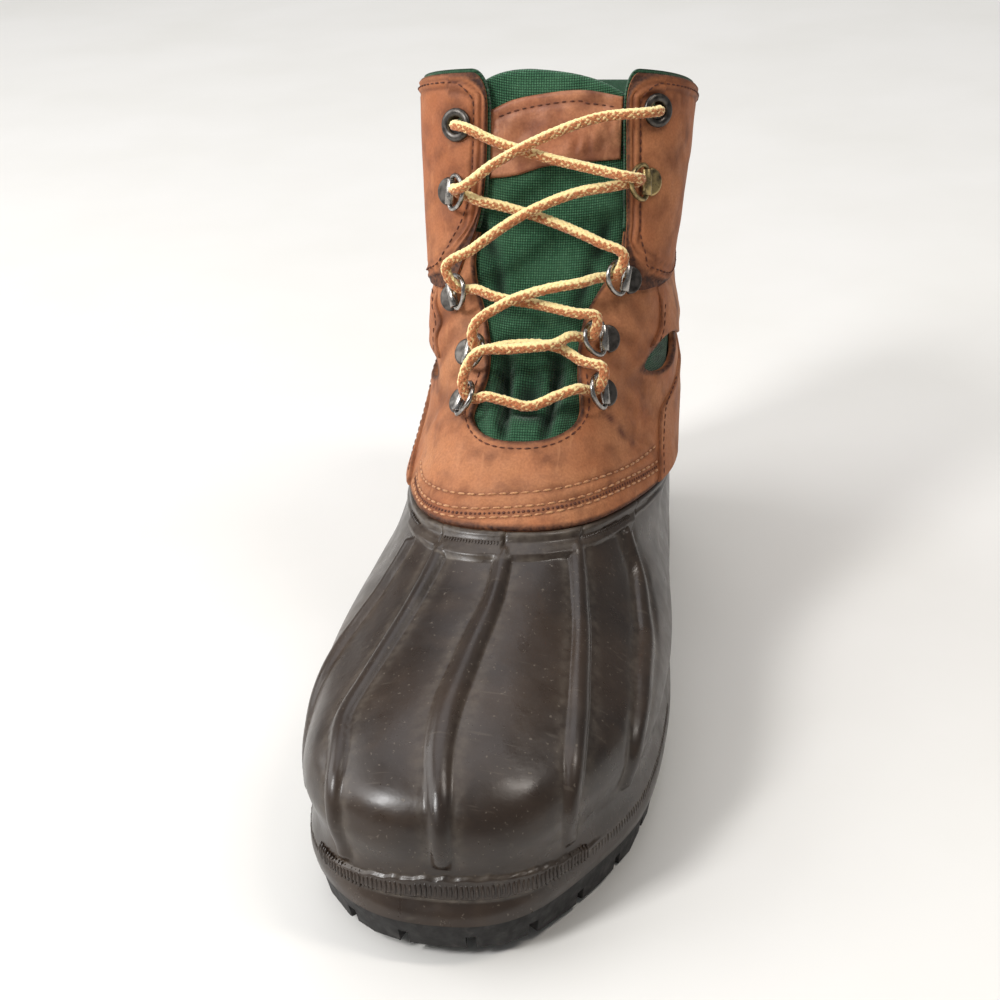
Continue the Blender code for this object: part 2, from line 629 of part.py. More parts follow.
def build_cuff(parts):
    """Leather overlay round the shaft's top, open at the throat."""
    outer, faces = shaft_grid(CUFF_ROWS, lambda v: 0.0)
    inner, _ = shaft_grid(CUFF_ROWS, lambda v: -CUFF_WALL)
    return add_object("collar_cuff", thicken("collar_cuff", outer, inner, faces), "cuff leather", parts)


def build_tongue(parts):
    """Padded cloth tongue behind the throat."""
    rows = (TONGUE_BOTTOM,) + UPPER_ROWS[3:]
    spread = np.linspace(-1.0, 1.0, 11)
    outer, inner = [], []
    for v in rows:
        reach = [float(throat_edge(max(v, 8.4), side)) + 0.075 for side in (1, -1)]
        g = np.where(spread > 0, spread * reach[0], spread * reach[1])
        top = float(leather_lift(v)) - LEATHER_WALL - SOFT_GAP
        rounding = 0.22 * np.clip(v - 11.0, 0.0, 1.0) * np.abs(spread) ** 4
        outer.append(skin(v - rounding, g, top))
        inner.append(skin(v - rounding, g, top - TONGUE_WALL))
    faces = grid_faces(len(rows), len(spread))
    mesh = thicken("tongue", np.concatenate(outer), np.concatenate(inner), faces)
    return add_object("tongue", mesh, "green cloth", parts)


# ---------------------------------------------------------------- lacing hardware


def surface_frame(v, g, lift):
    """Matrix on the surface: Z outward, Y up the shaft and X round the foot by the medial side."""
    here = Vector(skin(v, g, lift))
    up = Vector(skin(v + 0.05, g, lift)) - Vector(skin(v - 0.05, g, lift))
    side = Vector(skin(v, g + 0.01, lift)) - Vector(skin(v, g - 0.01, lift))
    outward = side.cross(up).normalized()
    y = (up - outward * up.dot(outward)).normalized()
    x = y.cross(outward)
    frame = Matrix.Identity(4)
    for column, axis in enumerate((x, y, outward, here)):
        frame.col[column][:3] = axis
    return frame


def lacing_frame(v, from_edge, side, lift, lean=0.0):
    """Frame of a piece set from_edge mm outside the throat's edge: X away from the throat, Z outward."""
    g = float(throat_edge(v, side)) + from_edge / half_length(v, side)
    frame = surface_frame(v, g if side > 0 else 2.0 - g, lift)
    if side < 0:
        frame = frame @ Matrix.Rotation(math.pi, 4, "Z")
    return frame @ Matrix.Rotation(math.radians(-side * lean), 4, "Z")


def screw_mesh(name, profile, steps):
    """Solid turned round Z from a closed profile of (radius, height) in mm, outer side running down."""
    mesh = bpy.data.meshes.new(name)
    count = len(profile)
    mesh.from_pydata([(r * MM, 0.0, z * MM) for r, z in profile], [(i, (i + 1) % count) for i in range(count)], [])
    helper = bpy.data.objects.new(name, mesh)
    bpy.context.scene.collection.objects.link(helper)
    modifier = helper.modifiers.new("turn", "SCREW")
    modifier.steps = steps
    modifier.render_steps = steps
    modifier.use_merge_vertices = True
    modifier.merge_threshold = 1e-6
    modifier.use_normal_calculate = True
    return realised(helper, name)


def realised(helper, name):
    """Mesh of an object as its modifiers and curve settings make it; the helper is removed."""
    bpy.context.view_layer.update()
    graph = bpy.context.evaluated_depsgraph_get()
    mesh = bpy.data.meshes.new_from_object(helper.evaluated_get(graph))
    mesh.name = name
    built = bmesh.new()
    built.from_mesh(mesh)
    bmesh.ops.remove_doubles(built, verts=built.verts, dist=1e-6)
    bmesh.ops.recalc_face_normals(built, faces=built.faces)
    built.to_mesh(mesh)
    built.free()
    bpy.data.objects.remove(helper)
    return mesh


def build_eyelets(parts, cutters, pierced):
    """Two metal grommets, with their holes through cuff and upper."""
    depth = CUFF_WALL + LEATHER_WALL + 2 * GAP
    profile = (
        (EYELET_BORE, 1.1), (EYELET_BORE + 1.0, 1.5), (EYELET_RIM - 0.6, 1.25), (EYELET_RIM, GAP),
        (EYELET_BARREL, GAP), (EYELET_BARREL, -depth), (EYELET_BORE, -depth),
    )  # fmt: skip
    for side, name in ((1, "medial"), (-1, "lateral")):
        frame = lacing_frame(EYELET_LEVELS[name], EYELET_FROM_EDGE, side, 0.0)
        built = bmesh.new()
        bmesh.ops.create_cone(
            built, cap_ends=True, segments=16, radius1=EYELET_HOLE * MM, radius2=EYELET_HOLE * MM,
            depth=0.02, matrix=frame,
        )  # fmt: skip
        points = [tuple(v.co) for v in built.verts]
        faces = [tuple(v.index for v in face.verts) for face in built.faces]
        built.free()
        tool = cutter("eyelet hole " + name, points, faces, cutters)
        for piece in pierced:
            cut(piece, tool)
        eyelet = add_object("eyelet_" + name, screw_mesh("eyelet", profile, 16), "gunmetal", parts)
        eyelet.matrix_world = frame


def clip_mesh():
    """Folded clip: round-ended plate lying on the leather, with its fold rolled into a bar that holds the ring."""
    height = BAR_RADIUS
    sides = 10
    turn = [2 * math.pi * k / sides for k in range(sides)]
    points, faces = [], []
    for y in (-BAR_LENGTH / 2, BAR_LENGTH / 2):
        for radius in (BAR_RADIUS, BAR_BORE):
            points += [(radius * math.sin(a) * MM, y * MM, (height + radius * math.cos(a)) * MM) for a in turn]
    for k in range(sides):
        n = (k + 1) % sides
        faces.append((k, n, n + 2 * sides, k + 2 * sides))
        faces.append((k + sides, k + 3 * sides, n + 3 * sides, n + sides))
        faces.append((k, k + sides, n + sides, n))
        faces.append((k + 2 * sides, n + 2 * sides, n + 3 * sides, k + 3 * sides))
    bar = bpy.data.objects.new("bar", mesh_from("bar", points, faces))
    bpy.context.scene.collection.objects.link(bar)
    outline = [(PLATE_START, -PLATE_RADIUS + 1.2), (PLATE_START, PLATE_RADIUS - 1.2)]
    for k in range(9):
        a = math.pi / 2 - k * math.pi / 8
        outline.append((PLATE_REACH + PLATE_RADIUS * 0.9 * math.cos(a), PLATE_RADIUS * math.sin(a)))
    count = len(outline)
    points = [(x * MM, y * MM, z * MM) for z in (0.0, PLATE_THICK) for x, y in outline]
    faces = [tuple(range(count)), tuple(range(2 * count - 1, count - 1, -1))]
    faces += [(k, (k + 1) % count, (k + 1) % count + count, k + count) for k in range(count)]
    plate = bpy.data.objects.new("plate", mesh_from("plate", points, faces))
    bpy.context.scene.collection.objects.link(plate)
    modifier = bar.modifiers.new("join", "BOOLEAN")
    modifier.operation = "UNION"
    modifier.solver = "EXACT"
    modifier.object = plate
    mesh = realised(bar, "ring clip")
    bpy.data.objects.remove(plate)
    return mesh


def ring_outline():
    """Centre line of the D-ring's wire in its own plane: straight leg at X = 0, bow toward -X, in mm."""
    points = [(0.0, -RING_HALF + RING_CORNER), (0.0, RING_HALF - RING_CORNER)]
    for k in range(9):
        a = math.pi / 2 - k * math.pi / 8
        points.append((-1.6 - (RING_REACH - 1.6) * math.cos(a), RING_HALF * math.sin(a)))
    return points


def ring_mesh():
    """Bent wire D-ring lying in its own XY plane."""
    curve = bpy.data.curves.new("d ring", "CURVE")
    curve.dimensions = "3D"
    curve.bevel_depth = RING_WIRE * MM
    curve.bevel_resolution = 1
    outline = ring_outline()
    spline = curve.splines.new("POLY")
    spline.points.add(len(outline) - 1)
    spline.use_cyclic_u = True
    for point, (x, y) in zip(spline.points, outline):
        point.co = (x * MM, y * MM, 0.0, 1.0)
    helper = bpy.data.objects.new("d ring", curve)
    bpy.context.scene.collection.objects.link(helper)
    return realised(helper, "d ring")


def ring_frames():
    """Frame of each clip and of the ring in it, by name such as medial_2."""
    frames = {}
    for place in RING_PLACES:
        side = 1 if place.side == "medial" else -1
        clip = lacing_frame(place.level, place.from_edge, side, GAP, place.lean)
        lift = Matrix.Translation((0.0, 0.0, BAR_RADIUS * MM))
        ring = clip @ lift @ Matrix.Rotation(math.radians(RING_TILT), 4, "Y")
        frames[f"{place.side}_{place.number}"] = (clip, ring)
    return frames


def build_rings(parts):
    """Eight clips and eight D-rings."""
    clip, ring = clip_mesh(), ring_mesh()
    for name, (clip_frame, ring_frame) in ring_frames().items():
        for prefix, mesh, frame in (("ring_clip_", clip, clip_frame), ("d_ring_", ring, ring_frame)):
            made = bpy.data.objects.new(prefix + name, mesh)
            parts.objects.link(made)
            made.matrix_world = frame
    for mesh in (clip, ring):
        mesh.materials.append(material("gunmetal"))
        mesh.shade_smooth()
        mesh.set_sharp_from_angle(angle=math.radians(40))


# ---------------------------------------------------------------- lace


def anchors():
    """For each eyelet and ring, the points the lace passes from its over side to its under side."""
    passes = {}
    rings = ring_frames()
    for place in RING_PLACES:
        name = f"{place.side}_{place.number}"
        under = tuple((x, share * place.leaves, z) for x, share, z in LACE_UNDER)
        passes[name] = (rings[name][1], LACE_OVER[place.over] + under)
    for side, name in ((1, "medial"), (-1, "lateral")):
        frame = lacing_frame(EYELET_LEVELS[name], EYELET_FROM_EDGE, side, 0.0)
        passes[name + "_1"] = (frame, EYELET_PASS)
    found = {}
    for name, (frame, points) in passes.items():
        up = 1.0 if name.startswith("medial") else -1.0
        found[name] = [frame @ Vector((x * MM, up * y * MM, z * MM)) for x, y, z in points]
    return found


def lace_points():
    """The lace's route from the lateral eyelet down to the lowest rings and up to the medial eyelet."""
    held = anchors()
    points = held[LACE_ROUTE[0].start][::-1]
    going_down = True
    for strand in LACE_ROUTE:
        arrival = held[strand.end]
        if strand.start == TURNING_ANCHOR:
            going_down = False
        if not going_down and strand.end != "medial_1":
            arrival = arrival[::-1]
        start, end = points[-1], arrival[0]
        for part, away, up in strand.bends:
            points.append(start.lerp(end, part) + (LACE_AWAY * away + LACE_UP * up) * MM)
        points.extend(arrival)
    return points


def build_lace(parts):
    """One round cord laced through every ring, with its ends in the top eyelets."""
    route = np.array([tuple(p) for p in lace_points()])
    lengths = np.concatenate([[0.0], np.cumsum(np.linalg.norm(np.diff(route, axis=0), axis=1))])
    steps = []
    for a, b in zip(lengths, lengths[1:]):
        pieces = 1 if b - a < LONGEST_LACE_STEP * MM else 2
        steps.extend(a + (b - a) * k / pieces for k in range(pieces))
    smooth = smooth_through(lengths, route, np.array(steps + [lengths[-1]]))
    curve = bpy.data.curves.new("lace", "CURVE")
    curve.dimensions = "3D"
    curve.bevel_depth = LACE_RADIUS * MM
    curve.bevel_resolution = 2
    curve.use_fill_caps = True
    spline = curve.splines.new("POLY")
    spline.points.add(len(smooth) - 1)
    for point, place in zip(spline.points, smooth):
        point.co = (*place, 1.0)
    curve.materials.append(material("lace"))
    lace = bpy.data.objects.new("lace", curve)
    parts.objects.link(lace)
    return lace


def main():
    """Clears the scene and builds every piece."""
    for old in list(bpy.data.objects):
        bpy.data.objects.remove(old)
    parts = collection("duck boot")
    cutters = collection("cutters")
    build_outsole(parts, cutters)
    build_rubber_bottom(parts)
    build_insole(parts)
    upper = build_upper(parts, cutters)
    cuff = build_cuff(parts)
    build_gussets(parts)
    build_tongue(parts)
    build_eyelets(parts, cutters, (upper, cuff))
    build_rings(parts)
    build_lace(parts)


main()
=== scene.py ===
"""Duck boot for the wearer's right foot: visible pieces, finishes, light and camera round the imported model.

Frame: metres, +Z up, toe toward -Y, medial (inner) side toward +X. Sizes are in millimetres unless a name
says otherwise. Every shell is laid out on one last: v counts its levels upward from the welt to the collar,
g runs round the foot from the toe (0) by the medial side to the heel (1) and by the lateral side back to the
toe (2), and lift is the distance outside that surface. A negative g is the lateral side's 2 + g.
"""

from __future__ import annotations

import logging
import math
from dataclasses import dataclass
from enum import Enum
from functools import cached_property, partial
from typing import Any, Callable, NamedTuple, Sequence

import bmesh
import bpy
import numpy as np
from bpy.types import Material, Mesh, NodeSocket, NodeTree, Object
from mathutils import Matrix, Vector


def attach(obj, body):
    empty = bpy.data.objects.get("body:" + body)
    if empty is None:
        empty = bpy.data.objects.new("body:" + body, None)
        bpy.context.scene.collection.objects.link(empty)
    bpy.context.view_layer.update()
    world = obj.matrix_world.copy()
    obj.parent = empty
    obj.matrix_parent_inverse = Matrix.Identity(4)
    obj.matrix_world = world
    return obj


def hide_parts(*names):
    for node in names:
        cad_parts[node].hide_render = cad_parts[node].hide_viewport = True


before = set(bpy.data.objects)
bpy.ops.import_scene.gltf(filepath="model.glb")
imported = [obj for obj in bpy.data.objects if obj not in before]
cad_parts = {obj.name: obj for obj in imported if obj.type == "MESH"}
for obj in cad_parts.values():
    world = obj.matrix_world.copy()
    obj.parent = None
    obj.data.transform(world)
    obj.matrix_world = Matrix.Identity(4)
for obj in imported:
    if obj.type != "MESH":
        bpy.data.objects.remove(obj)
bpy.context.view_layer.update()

LOG = logging.getLogger("duck boot")
Array = np.ndarray
Places = tuple[tuple[float, float], ...]
Triple = tuple[float, float, float]
Solid = tuple[Array, Sequence[Sequence[int]]]
Field = Callable[[Array, Array], Array]
MM = 0.001
BODY = "root"

# ---- sizes of the last

LENGTH = 300.0
BALL_WIDTH = 110.0
INSTEP_HEIGHT = 117.0
ORIGIN_BEHIND_TOE = 150.6
ORIGIN_X = -6.0
WIDTH_AT = (0.0, 0.10, 0.36, 0.64, 0.90, 1.0)
HEIGHT_AT = (0.0, 0.36, 0.64, 1.0)
CENTRE_LINE = ((0, -6.0), (25, -8.5), (60, -5.5), (100, -6.0), (150, -5.5), (200, -4.0), (300, -0.5))


class Level(NamedTuple):
    """One level of the last: ends in percent of LENGTH, heights of INSTEP_HEIGHT, widths of BALL_WIDTH."""

    name: str
    front: float
    back: float
    front_z: float
    ball_z: float
    waist_z: float
    heel_z: float
    toe_w: float
    ball_w: float
    waist_w: float
    heel_w: float
    bend: float
    front_n: float
    back_n: float


LEVELS = (
    Level("welt", 0.7, 98.0, 12.3, 8.5, 10.7, 12.8, 105.5, 99.1, 80.0, 69.1, 1.0, 2.5, 3.2),
    Level("flange", 1.8, 98.7, 17.9, 14.5, 15.4, 17.9, 104.2, 98.2, 77.3, 70.0, 1.0, 2.7, 3.2),
    Level("flute", 2.3, 98.8, 25.5, 21.8, 22.9, 25.6, 98.2, 95.5, 73.6, 68.2, 1.0, 2.85, 3.2),
    Level("wall", 2.0, 99.7, 34.7, 32.1, 32.9, 37.6, 103.6, 100.0, 79.1, 70.9, 1.0, 2.8, 3.0),
    Level("shoulder", 4.2, 99.3, 43.6, 40.0, 41.5, 49.6, 97.8, 95.1, 78.2, 69.1, 1.0, 2.8, 2.9),
    Level("brow", 11.3, 98.7, 51.8, 46.2, 47.4, 58.1, 83.6, 87.3, 73.1, 67.3, 1.0, 2.6, 2.8),
    Level("vamp", 23.3, 97.7, 59.0, 52.1, 52.6, 65.8, 76.4, 80.9, 71.5, 65.5, 0.9, 2.6, 2.8),
    Level("rim", 34.3, 96.7, 67.5, 59.8, 57.3, 73.5, 74.5, 80.0, 70.9, 63.6, 0.7, 2.7, 2.8),
    Level("throat", 43.7, 96.0, 87.2, 77.8, 75.2, 92.3, 69.1, 77.3, 72.7, 61.8, 0.5, 2.7, 2.7),
    Level("instep", 49.8, 95.7, 100.0, 94.0, 92.3, 106.0, 70.9, 77.3, 70.2, 60.9, 0.45, 2.9, 2.6),
    Level("ankle", 55.7, 95.7, 118.8, 113.2, 112.0, 121.4, 81.8, 75.5, 67.8, 63.6, 0.4, 3.25, 2.6),
    Level("shaft", 60.3, 96.3, 144.4, 139.7, 137.2, 140.2, 86.4, 81.8, 73.6, 70.9, 0.3, 3.3, 2.6),
    Level("collar", 64.3, 97.3, 176.1, 164.0, 155.0, 151.0, 87.3, 86.7, 81.3, 80.0, 0.3, 3.5, 2.6),
)
TOP = float(len(LEVELS) - 1)

# Levels at which the pieces start and stop, and their walls.
RUBBER_STEP = 6.9
RUBBER_TOP = 7.45
LEATHER_EDGE = 7.15
THROAT_BOTTOM = 8.0
CUFF_EDGE = 10.2
RUBBER_WALL = 2.5
LEATHER_WALL = 2.0
CUFF_WALL = 1.6
LAP_PROUD = 1.8
GAP = 0.35
SOFT_GAP = 1.0


class ThroatRow(NamedTuple):
    """Edge of the throat at one level, on each side."""

    level: float
    medial: float
    lateral: float


THROAT = (
    ThroatRow(8.3, 0.107, 0.089),
    ThroatRow(8.6, 0.105, 0.080),
    ThroatRow(8.95, 0.098, 0.070),
    ThroatRow(9.4, 0.096, 0.075),
    ThroatRow(9.8, 0.108, 0.097),
    ThroatRow(10.05, 0.135, 0.117),
    ThroatRow(10.3, 0.170, 0.128),
    ThroatRow(10.6, 0.181, 0.121),
    ThroatRow(11.0, 0.180, 0.112),
    ThroatRow(12.0, 0.172, 0.105),
)
THROAT_ROUND = 0.45
THROAT_SQUARENESS = 2.3
THROAT_SEAM = 2.7

# Rough measures that space the rows and columns of the upper's sheets.
LOW_LENGTH = 355.0  # one side of the lowest levels, from toe to heel
LOST_LENGTH = 115.0  # how much shorter a side is at the collar
THROAT_SHARE = 0.115  # share of a side that the throat takes up
EVEN_FROM = 0.45  # share of a side from which columns no longer follow the throat
TOP_LEVEL_TALL = 27.0  # height of the topmost level


# ---- small tools


def smooth_through(places: Sequence[float], values: Any, at: Any) -> Array:
    """Reads a smooth curve drawn through values.

    Args:
        places: rising places of the values.
        values: one number or row of numbers per place.
        at: places to read; they are held inside the first and last place.

    Returns:
        The curve's values, one for each place read.
    """
    places = np.asarray(places, float)
    values = np.asarray(values, float)
    at = np.clip(np.asarray(at, float), places[0], places[-1])
    slopes = np.gradient(values, places, axis=0)
    i = np.clip(np.searchsorted(places, at, side="right") - 1, 0, len(places) - 2)
    step = places[i + 1] - places[i]
    t = (at - places[i]) / step
    if values.ndim > 1:
        step = step[..., None]
        t = t[..., None]
    start = values[i] * (2 * t**3 - 3 * t**2 + 1) + slopes[i] * step * (t**3 - 2 * t**2 + t)
    return start + values[i + 1] * (3 * t**2 - 2 * t**3) + slopes[i + 1] * step * (t**3 - t**2)


def held(values: Any) -> Array:
    """Values held between 0 and 1."""
    return np.clip(values, 0.0, 1.0)


def step(low: float, high: float, at: Any) -> Array:
    """Soft step from 0 at low to 1 at high."""
    t = held((np.asarray(at, float) - low) / (high - low))
    return t * t * (3.0 - 2.0 * t)


def band(rise: float, full: float, fall: float, end: float, at: Any) -> Array:
    """Soft band: 0 outside rise and end, 1 from full to fall."""
    return step(rise, full, at) * (1.0 - step(fall, end, at))


def bell(distance: Any, width: Any) -> Array:
    """Bell curve, 1 at distance 0 and fading over about its width."""
    return np.exp(-((distance / width) ** 2))


def bump(distance: Any, half: float) -> Array:
    """Round hump, 1 at distance 0 and 0 from half outward."""
    t = held(np.abs(np.asarray(distance, float)) / half)
    return (1.0 - t * t) ** 2


def rounded(distance: Any, radius: float) -> Array:
    """How far a face falls away beside an edge, at distances from it, where the edge is rounded off."""
    t = 1.0 - held(distance / radius)
    return radius * (1.0 - np.sqrt(1.0 - t * t))


def stretches(*parts: tuple[float, float, int]) -> Array:
    """Rising places, even within each part's start, end and count."""
    return np.unique(np.concatenate([np.linspace(*part) for part in parts]))


def run(points: Array, axis: int = 0) -> Array:
    """Length along lines of points, from each line's first point; the lines follow an axis."""
    steps = np.linalg.norm(np.diff(points, axis=axis), axis=-1)
    return np.cumsum(np.concatenate([0 * np.take(steps, [0], axis), steps], axis), axis)


def noise(points: Array, size: float, seed: int) -> Array:
    """Smooth random field.

    Args:
        points: places in mm.
        size: width of the field's cells in mm.
        seed: which field.

    Returns:
        A number between about -1 and 1 for each place.
    """
    scaled = np.asarray(points, float) / size + 1000.0
    cell = np.floor(scaled).astype(np.int64)
    t = scaled - cell
    t = t * t * (3.0 - 2.0 * t)
    total = np.zeros(scaled.shape[:-1])
    for corner in range(8):
        shift = np.array([corner & 1, corner >> 1 & 1, corner >> 2 & 1])
        x, y, z = np.moveaxis(cell + shift, -1, 0)
        mixed = (x * 73856093) ^ (y * 19349663) ^ (z * 83492791) ^ (seed * 2654435761)
        mixed = (mixed ^ (mixed >> 13)) * 1274126177
        value = ((mixed ^ (mixed >> 16)) & 0xFFFF) / 32767.5 - 1.0
        total += value * np.prod(np.where(shift > 0, t, 1.0 - t), axis=-1)
    return total


class Last:
    """Smooth surface that every shell of the boot is laid out on."""

    rows_per_level = 60
    columns = 2048
    half_steps = 1400

    def __init__(self) -> None:
        """Reads the surface once on a fine grid."""
        self.row_count = int(TOP) * self.rows_per_level + 1
        values = np.array([row[1:] for row in LEVELS], float)
        scale = [LENGTH] * 2 + [INSTEP_HEIGHT] * 4 + [BALL_WIDTH / 2] * 4 + [100.0] * 3
        table = smooth_through(range(len(LEVELS)), values, np.linspace(0, TOP, self.row_count))
        table = table * np.array(scale) / 100.0
        self.points = np.stack([self._row(Level("", *row)) for row in table])
        around = np.roll(self.points, -1, axis=1) - np.roll(self.points, 1, axis=1)
        up = np.gradient(self.points, axis=0)
        normals = np.cross(around, up)
        self.normals = normals / np.linalg.norm(normals, axis=-1, keepdims=True)

    def _row(self, level: Level) -> Array:
        """One row of points round the foot, in mm.

        Args:
            level: the level's numbers, in mm.

        Returns:
            Points in mm, in order.
        """
        halves = []
        for side in (1, -1):
            turn = np.linspace(0.0, math.pi, self.half_steps + 1)
            power = 2.0 / np.where(np.cos(turn) >= 0, level.front_n, level.back_n)
            along = (1.0 - np.sign(np.cos(turn)) * np.abs(np.cos(turn)) ** power) / 2.0
            fullness = np.abs(np.sin(turn)) ** power
            widths = (level.toe_w, level.toe_w, level.ball_w, level.waist_w, level.heel_w, level.heel_w)
            heights = (level.front_z, level.ball_z, level.waist_z, level.heel_z)
            behind_toe = level.front + (level.back - level.front) * along
            bend = level.bend * smooth_through(*zip(*CENTRE_LINE), behind_toe)
            across = side * smooth_through(WIDTH_AT, widths, along) * fullness + bend
            height = smooth_through(HEIGHT_AT, heights, along)
            half = np.stack([across - ORIGIN_X, behind_toe - ORIGIN_BEHIND_TOE, height], axis=1)
            lengths = run(half)
            at = np.linspace(0.0, lengths[-1], self.columns // 2 + 1)
            halves.append(np.stack([np.interp(at, lengths, half[:, k]) for k in range(3)], axis=1))
        return np.concatenate([halves[0], halves[1][::-1][1:-1]])

    def at(self, v: Any, g: Any, lift: Any = 0.0) -> Array:
        """Points in mm at levels v and places g round the foot, lifted outside the surface."""
        v, g, lift = np.broadcast_arrays(*(np.asarray(a, float) for a in (v, g, lift)))
        return self._read(self.points, v, g) + self.normal(v, g) * lift[..., None]

    def normal(self, v: Any, g: Any) -> Array:
        """Unit vectors outward at places on the surface.

        Args:
            v: levels.
            g: places round the foot.

        Returns:
            Vectors, with a last axis of three.
        """
        v, g = np.broadcast_arrays(np.asarray(v, float), np.asarray(g, float))
        found = self._read(self.normals, v, g)
        return found / np.linalg.norm(found, axis=-1, keepdims=True)

    def _read(self, table: Array, v: Array, g: Array) -> Array:
        """Reads a table between its rows and columns.

        Args:
            table: one row of three numbers per column and row.
            v: levels of the places.
            g: their places round the foot.

        Returns:
            Three numbers for each place.
        """
        row = np.clip(v * self.rows_per_level, 0.0, self.row_count - 1.0001)
        column = np.mod(g, 2.0) * self.columns / 2.0
        i = np.floor(row).astype(int)
        j = np.floor(column).astype(int) % self.columns
        t = (row - i)[..., None]
        s = (column - np.floor(column))[..., None]
        k = (j + 1) % self.columns
        low = table[i, j] * (1 - s) + table[i, k] * s
        return low * (1 - t) + (table[i + 1, j] * (1 - s) + table[i + 1, k] * s) * t

    def half_length(self, v: float, side: int) -> float:
        """Length in mm of one side of a level, from toe to heel; side is 1 medial, -1 lateral."""
        return float(run(self.at(v, side * np.linspace(0.0, 1.0, self.columns // 2 + 1)))[-1])

    def metric(self, v: Array, g: Array) -> tuple[Array, Array]:
        """How a point moves on the surface, in mm.

        Args:
            v: levels.
            g: places round the foot.

        Returns:
            Its move for one level upward, and for one unit round the foot.
        """
        up = (self.at(v + 0.02, g) - self.at(v - 0.02, g)) / 0.04
        around = (self.at(v, g + 0.004) - self.at(v, g - 0.004)) / 0.008
        return up, around

    def frame(self, v: float, g: float, lift: float) -> Matrix:
        """Matrix on the surface, in metres: Z outward, Y up the shaft, X round by the medial side.

        Args:
            v: its level.
            g: its place round the foot.
            lift: distance outside the surface.

        Returns:
            The matrix.
        """
        here = Vector(self.at(v, g, lift) * MM)
        up = Vector(self.at(v + 0.05, g, lift) - self.at(v - 0.05, g, lift))
        side = Vector(self.at(v, g + 0.01, lift) - self.at(v, g - 0.01, lift))
        outward = side.cross(up).normalized()
        y = (up - outward * up.dot(outward)).normalized()
        matrix = Matrix.Identity(4)
        for column, axis in enumerate((y.cross(outward), y, outward, here)):
            matrix.col[column][:3] = axis
        return matrix


def throat_edge(v: Any, side: int) -> Array:
    """How far round the foot the throat's edge lies.

    Args:
        v: levels.
        side: 1 medial, -1 lateral.

    Returns:
        Places round the foot, from 0 at the toe, positive on either side.
    """
    column = [row.medial if side > 0 else row.lateral for row in THROAT]
    above = smooth_through([row.level for row in THROAT], column, v)
    t = held((np.asarray(v, float) - THROAT_BOTTOM) / THROAT_ROUND)
    return above * (1.0 - (1.0 - t) ** THROAT_SQUARENESS) ** (1.0 / THROAT_SQUARENESS)


def leather_lift(v: Any) -> Array:
    """Lift of the leather's outer face: proud where it laps the rubber, sunk under the cuff.

    Args:
        v: levels.

    Returns:
        Distances outside the last.
    """
    v = np.asarray(v, float)
    lap = LAP_PROUD * held((THROAT_BOTTOM - v) / (THROAT_BOTTOM - LEATHER_EDGE))
    return lap - (CUFF_WALL + GAP) * held((v - CUFF_EDGE + 0.85) / 0.6)


class Path:
    """Line drawn on the last through a few places (v, g)."""

    def __init__(self, last: Last, places: Places, count: int = 160) -> None:
        """Draws the line.

        Args:
            last: surface it lies on.
            places: (v, g) pairs in order.
            count: points kept along it.
        """
        self.last = last
        given = np.array(places, float)
        along = run(last.at(given[:, 0], given[:, 1]))
        read = smooth_through(along, given, np.linspace(0.0, along[-1], count))
        self.v, self.g = read[:, 0], read[:, 1]
        self.points = last.at(self.v, self.g)

    def nearest(self, points: Array) -> tuple[Array, Array]:
        """Distance in mm from points to the line, and how far along it, from 0 to 1, the nearest place is.

        Args:
            points: places in mm.

        Returns:
            Two numbers for each point.
        """
        near = np.full(points.shape[:-1], np.inf, np.float32)
        which = np.zeros(near.shape, int)
        points = points.astype(np.float32)
        for k, place in enumerate(self.points.astype(np.float32)):
            gap = np.einsum("...j,...j->...", points - place, points - place)
            closer = gap < near
            near[closer] = gap[closer]
            which[closer] = k
        return np.sqrt(near), which / (len(self.points) - 1)

    def offset(self, distance: Any) -> "Path":
        """The same line moved some mm sideways, to the right of its direction seen from outside.

        Args:
            distance: how far, in mm.

        Returns:
            The moved line.
        """
        up, around = self.last.metric(self.v, self.g)
        tangent = np.gradient(self.points, axis=0)
        side = np.cross(tangent, self.last.normal(self.v, self.g))
        side /= np.linalg.norm(side, axis=1, keepdims=True)
        moved = Path.__new__(Path)
        moved.last = self.last
        moved.v = self.v + distance * (side * up).sum(axis=1) / (up * up).sum(axis=1)
        moved.g = self.g + distance * (side * around).sum(axis=1) / (around * around).sum(axis=1)
        moved.points = self.last.at(moved.v, moved.g)
        return moved


class Fold(NamedTuple):
    """Soft trough pressed into a surface between two places, with a low ridge on each side of it."""

    v0: float
    g0: float
    v1: float
    g1: float
    width: float
    depth: float
    ridge: float = 0.45


def folded(last: Last, points: Array, folds: Sequence[Fold]) -> tuple[Array, Array]:
    """Heights that some folds add at points of the last.

    Args:
        last: surface they lie on.
        points: places on the surface in mm.
        folds: the troughs.

    Returns:
        Added lift in mm, and how deep in a trough each point lies, from 0 to 1.
    """
    lift = np.zeros(points.shape[:-1])
    deep = np.zeros(lift.shape)
    for fold in folds:
        path = Path(last, ((fold.v0, fold.g0), (fold.v1, fold.g1)), 40)
        distance, share = path.nearest(points)
        fade = np.sin(math.pi * np.clip(share, 0.03, 0.97)) ** 0.6
        trough = bell(distance, fold.width)
        lift += fold.depth * fade * (fold.ridge * bell(distance - 1.9 * fold.width, fold.width) - trough)
        deep = np.maximum(deep, trough * fade * min(abs(fold.depth) / 1.2, 1.0) * (fold.depth > 0))
    return lift, deep


